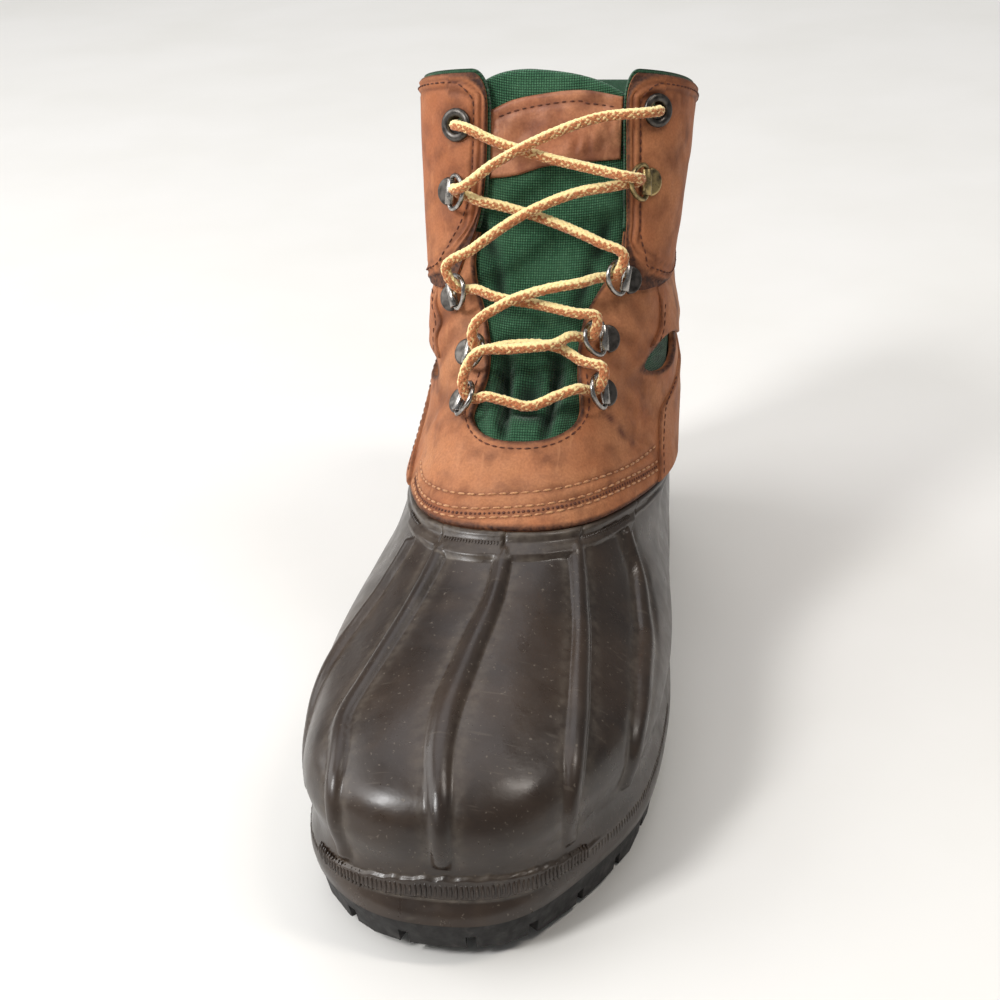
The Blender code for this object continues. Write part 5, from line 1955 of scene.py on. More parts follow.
@dataclass
class Cuff:
    """Smooth leather cuff round the shaft's top, its corners rounded and its edge folded and sewn."""

    last: Last
    medial_corner: Corner = Corner(14.0, 0.45)
    lateral_corner: Corner = Corner(18.0, 0.78)
    top_corner: Corner = Corner(12.0, 0.28)
    fall: Corner = Corner(38.0, 0.24)
    top: float = TOP - 0.035
    border: float = 2.0
    seam: float = 4.5
    top_seam: float = 2.8
    length: float = 250.0
    folds: tuple[Fold, ...] = (
        Fold(11.3, 0.205, 10.9, 0.245, 3.0, 0.5),
        Fold(10.85, 0.205, 10.55, 0.260, 2.6, 0.5),
        Fold(11.2, -0.180, 10.7, -0.215, 4.0, 0.5),
        Fold(10.9, 0.42, 10.6, 0.60, 6.0, 0.8),
        Fold(10.9, -0.40, 10.6, -0.60, 6.0, 0.8),
        Fold(11.3, 0.85, 11.2, 1.10, 7.0, 0.8),
    )

    def low(self, side: int, distance: Any) -> Array:
        """Level of the cuff's lower edge.

        Args:
            side: 1 medial, -1 lateral.
            distance: distances in mm from the throat's edge.

        Returns:
            Levels.
        """
        corner = self.medial_corner if side > 0 else self.lateral_corner
        edge = CUFF_EDGE - self.fall.tall * step(0.0, self.fall.wide, distance)
        return edge + corner.tall / corner.wide * rounded(distance, corner.wide)

    def high(self, distance: Any) -> Array:
        """Level of the cuff's top edge at distances in mm from the throat's edge."""
        corner = self.top_corner
        return self.top - corner.tall / corner.wide * rounded(distance, corner.wide)

    def outline(self, v: Array, g: Array) -> Array:
        """Distance in mm of places from the cuff's outline.

        Args:
            v: levels of the places.
            g: their places round the foot.

        Returns:
            One number for each place.
        """
        side, _, throat, tall = from_throat(self.last, v, g)
        low = np.where(side > 0, self.low(1, throat), self.low(-1, throat))
        # Beside a steep corner the gap straight up is longer than the gap across the edge.
        slant = np.where(throat < 14.0, 0.75, 1.0)
        return np.minimum(throat, np.minimum(v - low, self.high(throat) - v) * tall * slant)

    def relief(self, v: Array, g: Array) -> tuple[Array, Array]:
        """Added lift at places, and how much painted shade its folds, border groove, seam and eyelet dimples
        get there.

        Args:
            v: levels of the places.
            g: their places round the foot.

        Returns:
            Two numbers for each place.
        """
        away = self.outline(v, g)
        points = self.last.at(v, g)
        lift, deep = folded(self.last, points, self.folds)
        groove, seam = bell(away - self.border, 0.45), bell(away - self.seam, 0.7)
        lift += 0.30 * bump(away - 3.2, 1.6) - 0.5 * groove - 0.45 * seam
        lift += (0.35 * noise(points, 21.0, 41) + 0.12 * noise(points, 6.0, 42)) * step(1.0, 9.0, away)
        for hole in eyelet_holes(self.last):
            ring = np.linalg.norm(points - self.last.at(hole.v, hole.g), axis=-1)
            lift -= 0.35 * bell(ring - 5.0, 1.6)
            # Painted shade in the dimple round each eyelet.
            deep = np.maximum(deep, 0.7 * bell(ring - 5.9, 1.0))
        return lift, np.maximum(deep, np.maximum(0.85 * groove, 0.8 * seam))

    def build(self, beads: BeadRow, finishes: Finishes) -> None:
        """Builds the cuff and its stitches.

        Args:
            beads: lays the rows of small parts.
            finishes: the boot's materials.
        """
        shares = spread_columns(0.55, 9.0, 2.6, 90.0, 264.0)
        rise = stretches((0, 0.07, 7), (0.07, 0.88, 40), (0.88, 1, 11))[:, None]

        def levels(side: int, distance: Array) -> Array:
            """Levels of the rows over each column."""
            return self.low(side, distance) * (1.0 - rise) + self.high(distance) * rise

        v, g, _ = shaft_places(shares, levels)
        wall, v, g = lay(
            self.last,
            v,
            g,
            lambda a, b: self.relief(a, b)[0] - rounded(self.outline(a, b), 0.65),
            lambda a, b: 0 * a - CUFF_WALL,
            eyelet_holes(self.last),
        )
        cut = 1.0 - step(0.2, 1.3, self.outline(v, g))
        stain = 0.5 * held(noise(self.last.at(v, g), 8.0, 51) - 0.25)
        # The first value is painted shade in folds, grooves and round the eyelets.
        dressing = {"crease": self.relief(v, g)[1], "cut": cut, "stain": stain}
        materials = (finishes.cuff, finishes.raw_edge, finishes.suede)
        leather_piece("collar_cuff_leather", wall, dressing, materials, ("collar_cuff",))
        self.stitches(beads, finishes)

    def stitches(self, beads: BeadRow, finishes: Finishes) -> None:
        """Sews one row round each flap's outline, closer to the top and bottom edges than to the throat's.

        Args:
            beads: lays the rows of small parts.
            finishes: the boot's materials.
        """
        lines = []
        across = self.length * np.linspace(0.0, 1.0, 90) ** 1.6
        for side in (1, -1):
            upright = np.linspace(self.low(side, 0.0), self.high(0.0), 12)[1:-1]
            level = np.concatenate([self.low(side, across)[::-1], upright, self.high(across)])
            away = np.concatenate([across[::-1], np.zeros(10), across])
            edge = throat_edge(level, side)
            around = np.linalg.norm(self.last.metric(level, side * edge)[1], axis=-1)
            path = Path(self.last, np.column_stack([level, side * (edge + away / around)]), 900)
            throat = from_throat(self.last, path.v, path.g)[2]
            moved = path.offset(side * (self.seam - (self.seam - self.top_seam) * step(2.0, 14.0, throat)))
            keep = np.abs(moved.g) < 0.99
            lift = self.relief(moved.v, moved.g)[0] + 0.1
            points, normals = self.last.at(moved.v, moved.g, lift), self.last.normal(moved.v, moved.g)
            lines.append((points[keep], normals[keep]))
        stitch = Bead(2.55, 2.0, 0.62, 0.5, 0.12)
        beads.lay("cuff_stitches", lines, stitch, finishes.dark_thread, "cuff_leather")


@dataclass
class Lining:
    """Padded collar lining inside the cuff, showing as a thin green edge round the flaps."""

    last: Last
    cuff: Cuff
    low: float = 10.64
    peep: float = 0.9

    def build(self, finishes: Finishes) -> None:
        """Builds the pad.

        Args:
            finishes: the boot's materials.
        """
        shares = spread_columns(0.9, 8.0, 3.2, 70.0, 264.0)
        rise = np.linspace(0.0, 1.0, 40)[:, None]

        def levels(side: int, distance: Array) -> Array:
            """Levels of the rows over each column.

            Args:
                side: 1 medial, -1 lateral.
                distance: each column's distance in mm from the throat's edge.

            Returns:
                Levels, one row of the array for each row of the lining.
            """
            low = np.maximum(self.low, self.cuff.low(side, distance) - 0.03)
            high = np.minimum(self.cuff.high(np.maximum(distance - 0.6, 0.0)) + 0.034, TOP)
            return low + (high - low) * rise

        def inner(v: Array, g: Array) -> Array:
            """Lift of the face against the ankle, crowned like a pad.

            Args:
                v: levels.
                g: places round the foot.

            Returns:
                Distances outside the last.
            """
            place = np.minimum(np.mod(g, 2.0), 2.0 - np.mod(g, 2.0))
            share = held((v - self.low) / (TOP - self.low))
            swell = 2.6 * np.sin(math.pi * share) ** 0.8 + 0.25 * noise(self.last.at(v, g), 12.0, 61)
            return -3.75 - swell * step(0.36, 0.5, place)

        v, g, away = shaft_places(shares, levels)
        # The first columns peep out past the cuff's edge.
        shift = self.peep / self.cuff.length * held(1.0 - away / 6.0)
        g = np.where(g <= 1.0, g - shift, g + shift)
        holes = eyelet_holes(self.last)
        wall, v, g = lay(self.last, v, g, lambda a, b: 0 * a - CUFF_WALL - 0.25, inner, holes)
        uv = np.stack([np.mod(g + 1.0, 2.0) * 0.27, v * 0.027], axis=1)
        # The whole lining is drawn a little darker as painted shade.
        piece = cloth_piece("collar_lining", wall, uv, np.full(len(v) * 2, 0.25), finishes)


@dataclass
class Tongue:
    """Padded canvas tongue behind the lacing, gathered at its foot."""

    last: Last
    low: float = 7.6
    widens: float = 8.4
    wall: float = 3.2
    reach: float = 0.075
    around: float = 290.0
    folds: tuple[Fold, ...] = (
        Fold(9.50, -0.045, 8.45, -0.034, 2.8, 2.6, 0.25),
        Fold(9.50, 0.055, 8.50, 0.065, 2.8, 2.6, 0.25),
        Fold(9.10, -0.036, 8.02, -0.024, 1.7, 3.4, 0.10),
        Fold(9.05, 0.060, 8.02, 0.046, 1.7, 3.4, 0.10),
        Fold(9.00, 0.006, 8.52, 0.014, 4.6, 3.0, 0.0),
        Fold(8.46, -0.022, 8.44, 0.044, 1.3, 1.4, 0.2),
        Fold(9.10, -0.056, 8.10, -0.044, 2.8, -2.2, 0.0),
        Fold(9.10, 0.080, 8.10, 0.066, 2.8, -2.2, 0.0),
        Fold(8.24, -0.020, 8.24, 0.042, 3.2, -2.4, 0.0),
        Fold(10.80, -0.140, 10.30, -0.080, 2.6, 1.5, 0.4),
        Fold(10.35, -0.085, 9.75, -0.060, 2.2, 1.1, 0.3),
        Fold(10.75, 0.150, 10.30, 0.118, 2.6, 1.5, 0.4),
        Fold(10.35, 0.118, 9.80, 0.082, 2.2, 1.1, 0.3),
        Fold(9.15, 0.005, 8.90, 0.035, 2.4, 0.8, 0.3),
    )

    def lift(self, v: Array) -> Array:
        """Lift of the plain outer face."""
        return leather_lift(v) - LEATHER_WALL - SOFT_GAP

    def relief(self, v: Array, g: Array) -> tuple[Array, Array]:
        """Added lift at places, and how shaded the cloth is there.

        Args:
            v: levels of the places.
            g: their places round the foot.

        Returns:
            Two numbers for each place.
        """
        points = self.last.at(v, g)
        lift, deep = folded(self.last, points, self.folds)
        lift += 0.30 * noise(points, 14.0, 71) + 0.12 * noise(points, 5.0, 72)
        inside = (np.where(g > 0, throat_edge(v, 1), throat_edge(v, -1)) - np.abs(g)) * self.around
        # Beside the throat's edge and under the lacing there is less room to swell into.
        room = 0.9 + 1.8 * step(0.5, 3.5, inside) * (1.0 - step(9.0, 9.4, v))
        return np.where(lift > 0.0, room * np.tanh(lift / room), lift), deep

    def build(self, finishes: Finishes) -> None:
        """Builds the tongue.

        Args:
            finishes: the boot's materials.
        """
        rows = np.linspace(self.low, TOP, 150)[:, None]
        spread = np.linspace(-1.0, 1.0, 121)[None, :]
        wide = np.maximum(rows, self.widens)
        medial, lateral = (throat_edge(wide, side) + self.reach for side in (1, -1))
        g = spread * np.where(spread > 0, medial, lateral)
        high = held(rows - (TOP - 1.0))
        v = rows - high * (0.30 * np.abs(spread) ** 3 + 0.10 * step(-0.2, 0.9, spread))
        edge = (1.0 - np.abs(spread)) * (medial + lateral) / 2.0 * self.around
        away = np.minimum(edge, (TOP - rows) * TOP_LEVEL_TALL)
        relief, deep = self.relief(v, g)
        outer = self.lift(v) + relief - rounded(away, 1.5)
        inner = self.lift(v) - self.wall + np.minimum(0.5 * relief, 0.0)
        inner = np.minimum(np.minimum(inner, outer - 1.0) + rounded(away, 1.3), outer - 0.25)
        points = self.last.at(v, g)
        across = run(points, 1)
        middle = spread.size // 2
        uv = np.stack([across - across[:, middle : middle + 1], run(points)], axis=-1).reshape(-1, 2) * MM
        shade = np.concatenate([deep.ravel(), np.full(deep.size, 0.5)])
        wall = shell(self.last.at(v, g, outer), self.last.at(v, g, inner))
        cloth_piece("tongue_canvas", wall, uv, shade, finishes, ("tongue",))


@dataclass
class Patch:
    """Bare leather patch sewn to the tongue's top, and the edge that shows above it."""

    last: Last
    tongue: Tongue
    ends: tuple[float, float] = (-0.106, 0.170)
    low: Places = ((-0.106, 11.10), (-0.05, 11.13), (0.005, 11.20), (0.08, 11.24), (0.172, 11.26))
    high: Places = ((-0.106, 11.66), (-0.06, 11.74), (0.0, 11.79), (0.09, 11.82), (0.166, 11.77))
    thick: float = 1.1
    seam: float = 2.6
    seam_low: float = 11.5
    folds: tuple[Fold, ...] = (
        Fold(11.42, 0.075, 11.28, 0.070, 1.2, 0.5),
        Fold(11.45, 0.100, 11.30, 0.098, 1.1, 0.5),
        Fold(11.50, 0.125, 11.32, 0.128, 1.4, 0.6),
        Fold(11.60, 0.145, 11.40, 0.140, 1.6, 0.6),
        Fold(11.55, -0.02, 11.30, -0.07, 3.0, 0.5),
    )

    def build(self, beads: BeadRow, finishes: Finishes) -> None:
        """Builds the patch and its row of stitches.

        Args:
            beads: lays the rows of small parts.
            finishes: the boot's materials.
        """
        rows = np.linspace(0.0, 1.0, 34)[:, None]
        columns = np.linspace(*self.ends, 90)
        # Its free corner curls off the tongue.
        corner_g, corner_v, curled = 0.158, 11.79, 9.0
        low, high = (smooth_through(*zip(*edge), columns) for edge in (self.low, self.high))
        v = low + (high - low) * rows
        g = np.tile(columns, (len(rows), 1))
        ends = np.minimum(g - self.ends[0], self.ends[1] - g) * 262.0
        away = np.minimum(ends, np.minimum(rows, 1.0 - rows) * (high - low) * TOP_LEVEL_TALL)
        points = self.last.at(v, g)
        lift, deep = folded(self.last, points, self.folds)
        lift += 0.3 * noise(points, 9.0, 81) + 0.12 * noise(points, 3.5, 82)
        curl = 1.2 * bump(np.hypot((g - corner_g) * 260.0, (v - corner_v) * TOP_LEVEL_TALL), curled)
        seam = bell(away - self.seam, 0.7) * (v > self.seam_low)
        top = self.thick + 0.25 + lift * step(0.5, 4.0, away) + curl - 0.3 * seam
        under = self.tongue.lift(v) + self.tongue.relief(v, g)[0]
        face = self.last.at(v, g, under + top - rounded(away, 0.5))
        wall = shell(face, self.last.at(v, g, under + 0.12 + 0.6 * curl))
        # The first value is painted shade in the patch's folds and along its seam.
        dressing = {
            "crease": np.maximum(deep, 0.4 * seam).ravel(),
            "cut": (0.35 * (1.0 - step(0.1, 0.8, away))).ravel(),
            "stain": (np.clip(1.2 * noise(points, 7.0, 83) - 0.1, 0.0, 0.8) * step(0.03, 0.12, g)).ravel(),
        }
        materials = (finishes.patch, finishes.raw_light, finishes.suede)
        leather_piece("tongue_patch", wall, dressing, materials)
        # The stitches follow the grid's points nearest to the seam, in its upper rows and away from its ends.
        first_row, margin = 24, 8
        columns = np.arange(margin, len(columns) - margin)
        seam_row = np.abs(away - self.seam)[first_row:, columns].argmin(axis=0) + first_row
        normal = self.last.normal(v, g)[seam_row, columns]
        lines = [(face[seam_row, columns] + normal * 0.1, normal)]
        stitch = Bead(2.5, 1.9, 0.62, 0.5, 0.12)
        beads.lay("patch_stitches", lines, stitch, finishes.dark_thread, "cuff_leather")


@dataclass
class Gussets:
    """Cloth panels behind the ankle windows."""

    last: Last
    wall: float = 0.9
    half_v: float = 0.42
    half_g: float = 0.125

    def build(self, finishes: Finishes) -> None:
        """Builds both panels.

        Args:
            finishes: the boot's materials.
        """
        for hole, side, name in zip(WINDOWS, (1, -1), ("medial", "lateral")):
            rows = np.linspace(hole.v - self.half_v, hole.v + self.half_v, 40)
            columns = np.linspace(hole.g - self.half_g, hole.g + self.half_g, 90)
            v, g = np.meshgrid(rows, columns, indexing="ij")
            middle = hole.g if side > 0 else hole.g - 2.0
            folds = (
                Fold(hole.v + 0.18, middle - 0.05 * side, hole.v - 0.05, middle + 0.05 * side, 1.8, 0.7, 0.3),
                Fold(hole.v - 0.02, middle - 0.04 * side, hole.v - 0.2, middle + 0.03 * side, 1.6, 0.6, 0.3),
            )
            points = self.last.at(v, g)
            lift, deep = folded(self.last, points, folds)
            lift = np.minimum(lift + 0.15 * noise(points, 6.0, 91), 0.12)
            lift += leather_lift(v) - LEATHER_WALL - 0.75
            wall = shell(self.last.at(v, g, lift), self.last.at(v, g, lift - self.wall))
            wide, tall = float(run(points[20])[-1]) * MM, float(run(points[:, 45])[-1]) * MM
            spread = (g - hole.g) / self.half_g * wide, (v - hole.v) / self.half_v * tall
            uv = np.stack(spread, axis=-1).reshape(-1, 2) / 2.0
            shade = np.concatenate([0.2 + 0.8 * deep.ravel(), deep.ravel()])
            piece = cloth_piece("gusset_cloth_" + name, wall, uv, shade, finishes, ("ankle_gusset_" + name,))


# ---- lacing hardware


BAR_RADIUS, BAR_BORE, BAR_LENGTH = 1.6, 1.15, 8.4
PLATE_START, PLATE_RADIUS, PLATE_REACH = 1.2, 4.6, 2.0
RING_WIRE, RING_HALF, RING_REACH, RING_ROOT, RING_TILT, RING_CORNER = 0.8, 5.7, 8.9, -1.6, 28.0, 0.7
WORN_RING = "medial_2"


class Over(Enum):
    """How the lace comes over a ring: straight across its top, or round its bow."""

    TOP = 1
    BOW = 2


class RingPlace(NamedTuple):
    """Where a D-ring's clip sits, and how the lace comes over it and leaves it."""

    side: Side
    number: int
    level: float
    from_edge: float
    lean: float
    over: Over
    leaves: float

    @property
    def name(self) -> str:
        """Name shared by the clip, the ring and the lace's anchor."""
        return f"{self.side.name.lower()}_{self.number}"


RING_PLACES = (
    RingPlace(Side.MEDIAL, 2, 11.05, 5.7, -1.0, Over.BOW, -1.0),
    RingPlace(Side.MEDIAL, 3, 10.12, 5.4, 8.0, Over.TOP, -2.0),
    RingPlace(Side.MEDIAL, 4, 9.44, 7.3, -6.0, Over.TOP, 0.6),
    RingPlace(Side.MEDIAL, 5, 8.66, 7.4, -12.0, Over.TOP, 0.8),
    RingPlace(Side.LATERAL, 2, 10.96, 10.5, -4.0, Over.BOW, -1.6),
    RingPlace(Side.LATERAL, 3, 9.91, 8.5, 22.0, Over.TOP, -2.6),
    RingPlace(Side.LATERAL, 4, 9.24, 6.4, -6.0, Over.TOP, 2.0),
    RingPlace(Side.LATERAL, 5, 8.5, 4.2, -12.0, Over.TOP, 1.6),
)


def lacing_frame(last: Last, v: float, from_edge: float, side: int, lift: float, lean: float = 0.0) -> Matrix:
    """Frame of a piece from_edge mm outside the throat's edge, in metres: X away from it, Z outward.

    Args:
        last: surface it lies on.
        v: its level.
        from_edge: distance in mm from the throat's edge.
        side: 1 medial, -1 lateral.
        lift: distance outside the surface.
        lean: turn in degrees.

    Returns:
        The frame.
    """
    g = float(throat_edge(v, side)) + from_edge / float(last.half_length(v, side))
    placed = last.frame(v, g if side > 0 else 2.0 - g, lift)
    if side < 0:
        placed = placed @ Matrix.Rotation(math.pi, 4, "Z")
    return placed @ Matrix.Rotation(math.radians(-side * lean), 4, "Z")


def lathe(profile: Sequence[tuple[float, float]], segments: int) -> Solid:
    """Ring-shaped solid turned round Z.

    Args:
        profile: closed outline of (radius, height) in mm, its outer side running downward.
        segments: steps round the axis.

    Returns:
        Points in mm and faces.
    """
    turn = np.arange(segments)[:, None] * 2.0 * math.pi / segments
    radii, heights = np.array(profile).T
    points = np.stack([radii * np.cos(turn), radii * np.sin(turn), heights + 0 * turn], axis=-1)
    return points.reshape(-1, 3), quads(segments, len(profile), closed=True, looped=True).tolist()


def placed_mesh(name: str, solid: Solid, matrix: Matrix) -> Mesh:
    """Mesh of a local solid moved to its frame, its faces turned outward.

    Args:
        name: its name.
        solid: its points and faces.
        matrix: its frame.

    Returns:
        The mesh.
    """
    mesh = make_mesh(name, *solid)
    mesh.transform(matrix)
    built = bmesh.new()
    built.from_mesh(mesh)
    bmesh.ops.remove_doubles(built, verts=built.verts, dist=1e-7)
    bmesh.ops.recalc_face_normals(built, faces=built.faces)
    built.to_mesh(mesh)
    built.free()
    return mesh


@dataclass
class Hardware:
    """Eyelets, folded clips and D-rings."""

    last: Last

    def build(self, finishes: Finishes) -> None:
        """Builds every metal piece; the most handled ring shows its brass.

        Args:
            finishes: the boot's materials.
        """
        pieces = []
        for side, level in EYELETS:
            matrix = lacing_frame(self.last, level, EYELET_FROM_EDGE, side.value, 0.0)
            name, eyelet = "grommet_" + side.name.lower(), ("eyelet_" + side.name.lower(),)
            pieces.append((name, self.eyelet(), matrix, finishes.dark_and_shaded_metal, eyelet, 60.0))
        for place in RING_PLACES:
            clip, ring = self.frames(place)
            worn = place.name == WORN_RING
            metal = finishes.aged_metal if worn else finishes.metal
            # The plate gets the darker metal though it is one sheet with the bar: painted shade, for the dark
            # surroundings it reflects.
            plate = metal if worn else finishes.dark_and_shaded_metal
            wire = tube(self.ring_line(), RING_WIRE, 14)
            pieces += [
                ("plate_" + place.name, self.plate(), clip, plate, (), 50.0),
                ("clip_" + place.name, self.bar(), clip, metal, ("ring_clip_" + place.name,), 50.0),
                ("ring_" + place.name, wire, ring, metal, ("d_ring_" + place.name,), 80.0),
            ]
        for name, solid, matrix, metal, stands_for, sharp in pieces:
            finish_piece(name, placed_mesh(name, solid, matrix), (metal,), stands_for, sharp)

    def frames(self, place: RingPlace) -> tuple[Matrix, Matrix]:
        """Frames of a clip and of the ring in it.

        Args:
            place: where the clip sits.

        Returns:
            The clip's and the ring's.
        """
        clip = lacing_frame(self.last, place.level, place.from_edge, place.side.value, GAP, place.lean)
        lift = Matrix.Translation((0.0, 0.0, BAR_RADIUS * MM))
        return clip, clip @ lift @ Matrix.Rotation(math.radians(RING_TILT), 4, "Y")

    def eyelet(self) -> Solid:
        """Grommet: a rolled rim over the leather and a barrel through it.

        Returns:
            Points in mm and faces.
        """
        depth = CUFF_WALL + LEATHER_WALL + 2 * GAP
        turn = np.linspace(0.0, math.pi, 13)
        middle, half = (EYELET_BORE + EYELET_RIM) / 2.0, (EYELET_RIM - EYELET_BORE) / 2.0
        height = 0.30 + 1.2 * np.abs(np.sin(turn)) ** 0.8
        rim = list(zip(middle - half * np.cos(turn), height))
        barrel = [(EYELET_BARREL, 0.30), (EYELET_BARREL, -depth)]
        return lathe(rim + barrel + [(EYELET_BORE + 0.25, -depth), (EYELET_BORE, 0.3 - depth)], 56)

    def bar(self) -> Solid:
        """Rolled bar: sheet metal curled round the ring's straight leg, its slit turned to the leather.

        Returns:
            Points in mm and faces.
        """
        steps, gap = 30, math.radians(14)
        turn = np.linspace(math.pi * 0.62 + gap, math.pi * 2.62 - gap, steps)
        half, bevel = BAR_LENGTH / 2, 0.16
        points = []
        for y, trim in ((-half, bevel), (-half + bevel, 0.0), (half - bevel, 0.0), (half, bevel)):
            for radius, turned in ((BAR_RADIUS - trim, turn), (BAR_BORE + trim * 0.6, turn[::-1])):
                points += [(radius * math.sin(a), y, BAR_RADIUS + radius * math.cos(a)) for a in turned]
        count = 2 * steps
        faces = quads(4, count, closed=True).tolist()
        for j in range(steps - 1):
            cap = (j, j + 1, count - 2 - j, count - 1 - j)
            faces += [cap[::-1], tuple(3 * count + corner for corner in cap)]
        return np.array(points), faces

    def plate(self) -> Solid:
        """Round-ended plate lying on the leather, its edge rolled down.

        Returns:
            Points in mm and faces.
        """
        turn = np.linspace(math.pi / 2, -math.pi / 2, 25)
        corner = PLATE_RADIUS - 0.9
        arc = [PLATE_REACH + PLATE_RADIUS * 0.9 * np.cos(turn), PLATE_RADIUS * np.sin(turn)]
        line = np.concatenate([[(PLATE_START, -corner), (PLATE_START, corner)], np.column_stack(arc)])
        away = line - (2.4, 0.0)
        size = np.linalg.norm(away, axis=1, keepdims=True)
        rings = []
        for inset, z in ((0.0, 0.0), (0.0, 0.25), (0.12, 0.5), (0.45, 0.74), (0.9, 0.8), (2.4, 0.72)):
            moved = line - away / size * np.minimum(inset, size * 0.9)
            rings.append(np.column_stack([moved, np.full(len(line), z)]))
        count = len(line)
        faces = quads(len(rings), count, closed=True).tolist()
        faces += [tuple(range(count))[::-1], tuple(range((len(rings) - 1) * count, len(rings) * count))]
        return np.concatenate(rings), faces

    def ring_line(self) -> Array:
        """Centre line of the D-ring's wire in its own plane, in mm.

        Returns:
            Points in order.
        """
        leg = RING_HALF - RING_CORNER
        turn = math.pi / 2 - np.arange(25) * math.pi / 24
        bow = [RING_ROOT - (RING_REACH + RING_ROOT) * np.cos(turn), RING_HALF * np.sin(turn)]
        leg_line = np.column_stack([np.zeros(11), np.linspace(-leg, leg, 11)])
        line = np.concatenate([leg_line, np.column_stack(bow)])
        for _ in range(2):
            eased = 0.25 * np.roll(line, 1, axis=0) + 0.5 * line + 0.25 * np.roll(line, -1, axis=0)
            straight = (np.abs(line[:, :1]) < 1e-6) & (np.abs(line[:, 1:]) < leg - 1.0)
            line = np.where(straight, line, eased)
        return np.column_stack([line, np.zeros(len(line))])


# ---- lace


class Strand(NamedTuple):
    """Run of the lace between two anchors; its bends are (part of the way, mm off the tongue, mm up)."""

    start: str
    end: str
    bends: tuple[Triple, ...]


LACE_ROUTE = (
    Strand("lateral_1", "medial_2", ((0.19, 0.2, -1.8), (0.49, -0.6, -1.8), (0.78, 0.4, -1.3))),
    Strand("medial_2", "lateral_3", ((0.2, 3.8, 2.0), (0.53, 5.4, 3.1), (0.83, 3.8, 0.6))),
    Strand("lateral_3", "medial_4", ((0.13, 0.6, -1.2), (0.52, 0.0, -0.4), (0.85, 0.8, -0.7))),
    Strand("medial_4", "lateral_5", ((0.14, 4.3, -2.5), (0.54, 4.6, 0.9), (0.87, 3.8, 4.3))),
    Strand("lateral_5", "medial_5", ((0.17, 0.6, -1.7), (0.49, 0.8, -4.9), (0.81, 0.6, -1.7))),
    Strand("medial_5", "lateral_4", ((0.2, -0.6, 1.4), (0.42, -0.8, 4.4), (0.81, 0.0, 2.4))),
    Strand("lateral_4", "medial_3", ((0.24, 3.4, 2.5), (0.6, 4.8, 1.0), (0.92, 3.2, -1.3))),
    Strand("medial_3", "lateral_2", ((0.17, 0.6, 1.3), (0.49, 0.0, 2.4), (0.8, 0.6, 1.1))),
    Strand("lateral_2", "medial_1", ((0.2, 4.2, 1.3), (0.44, 5.6, 2.8), (0.74, 3.6, 3.2))),
)


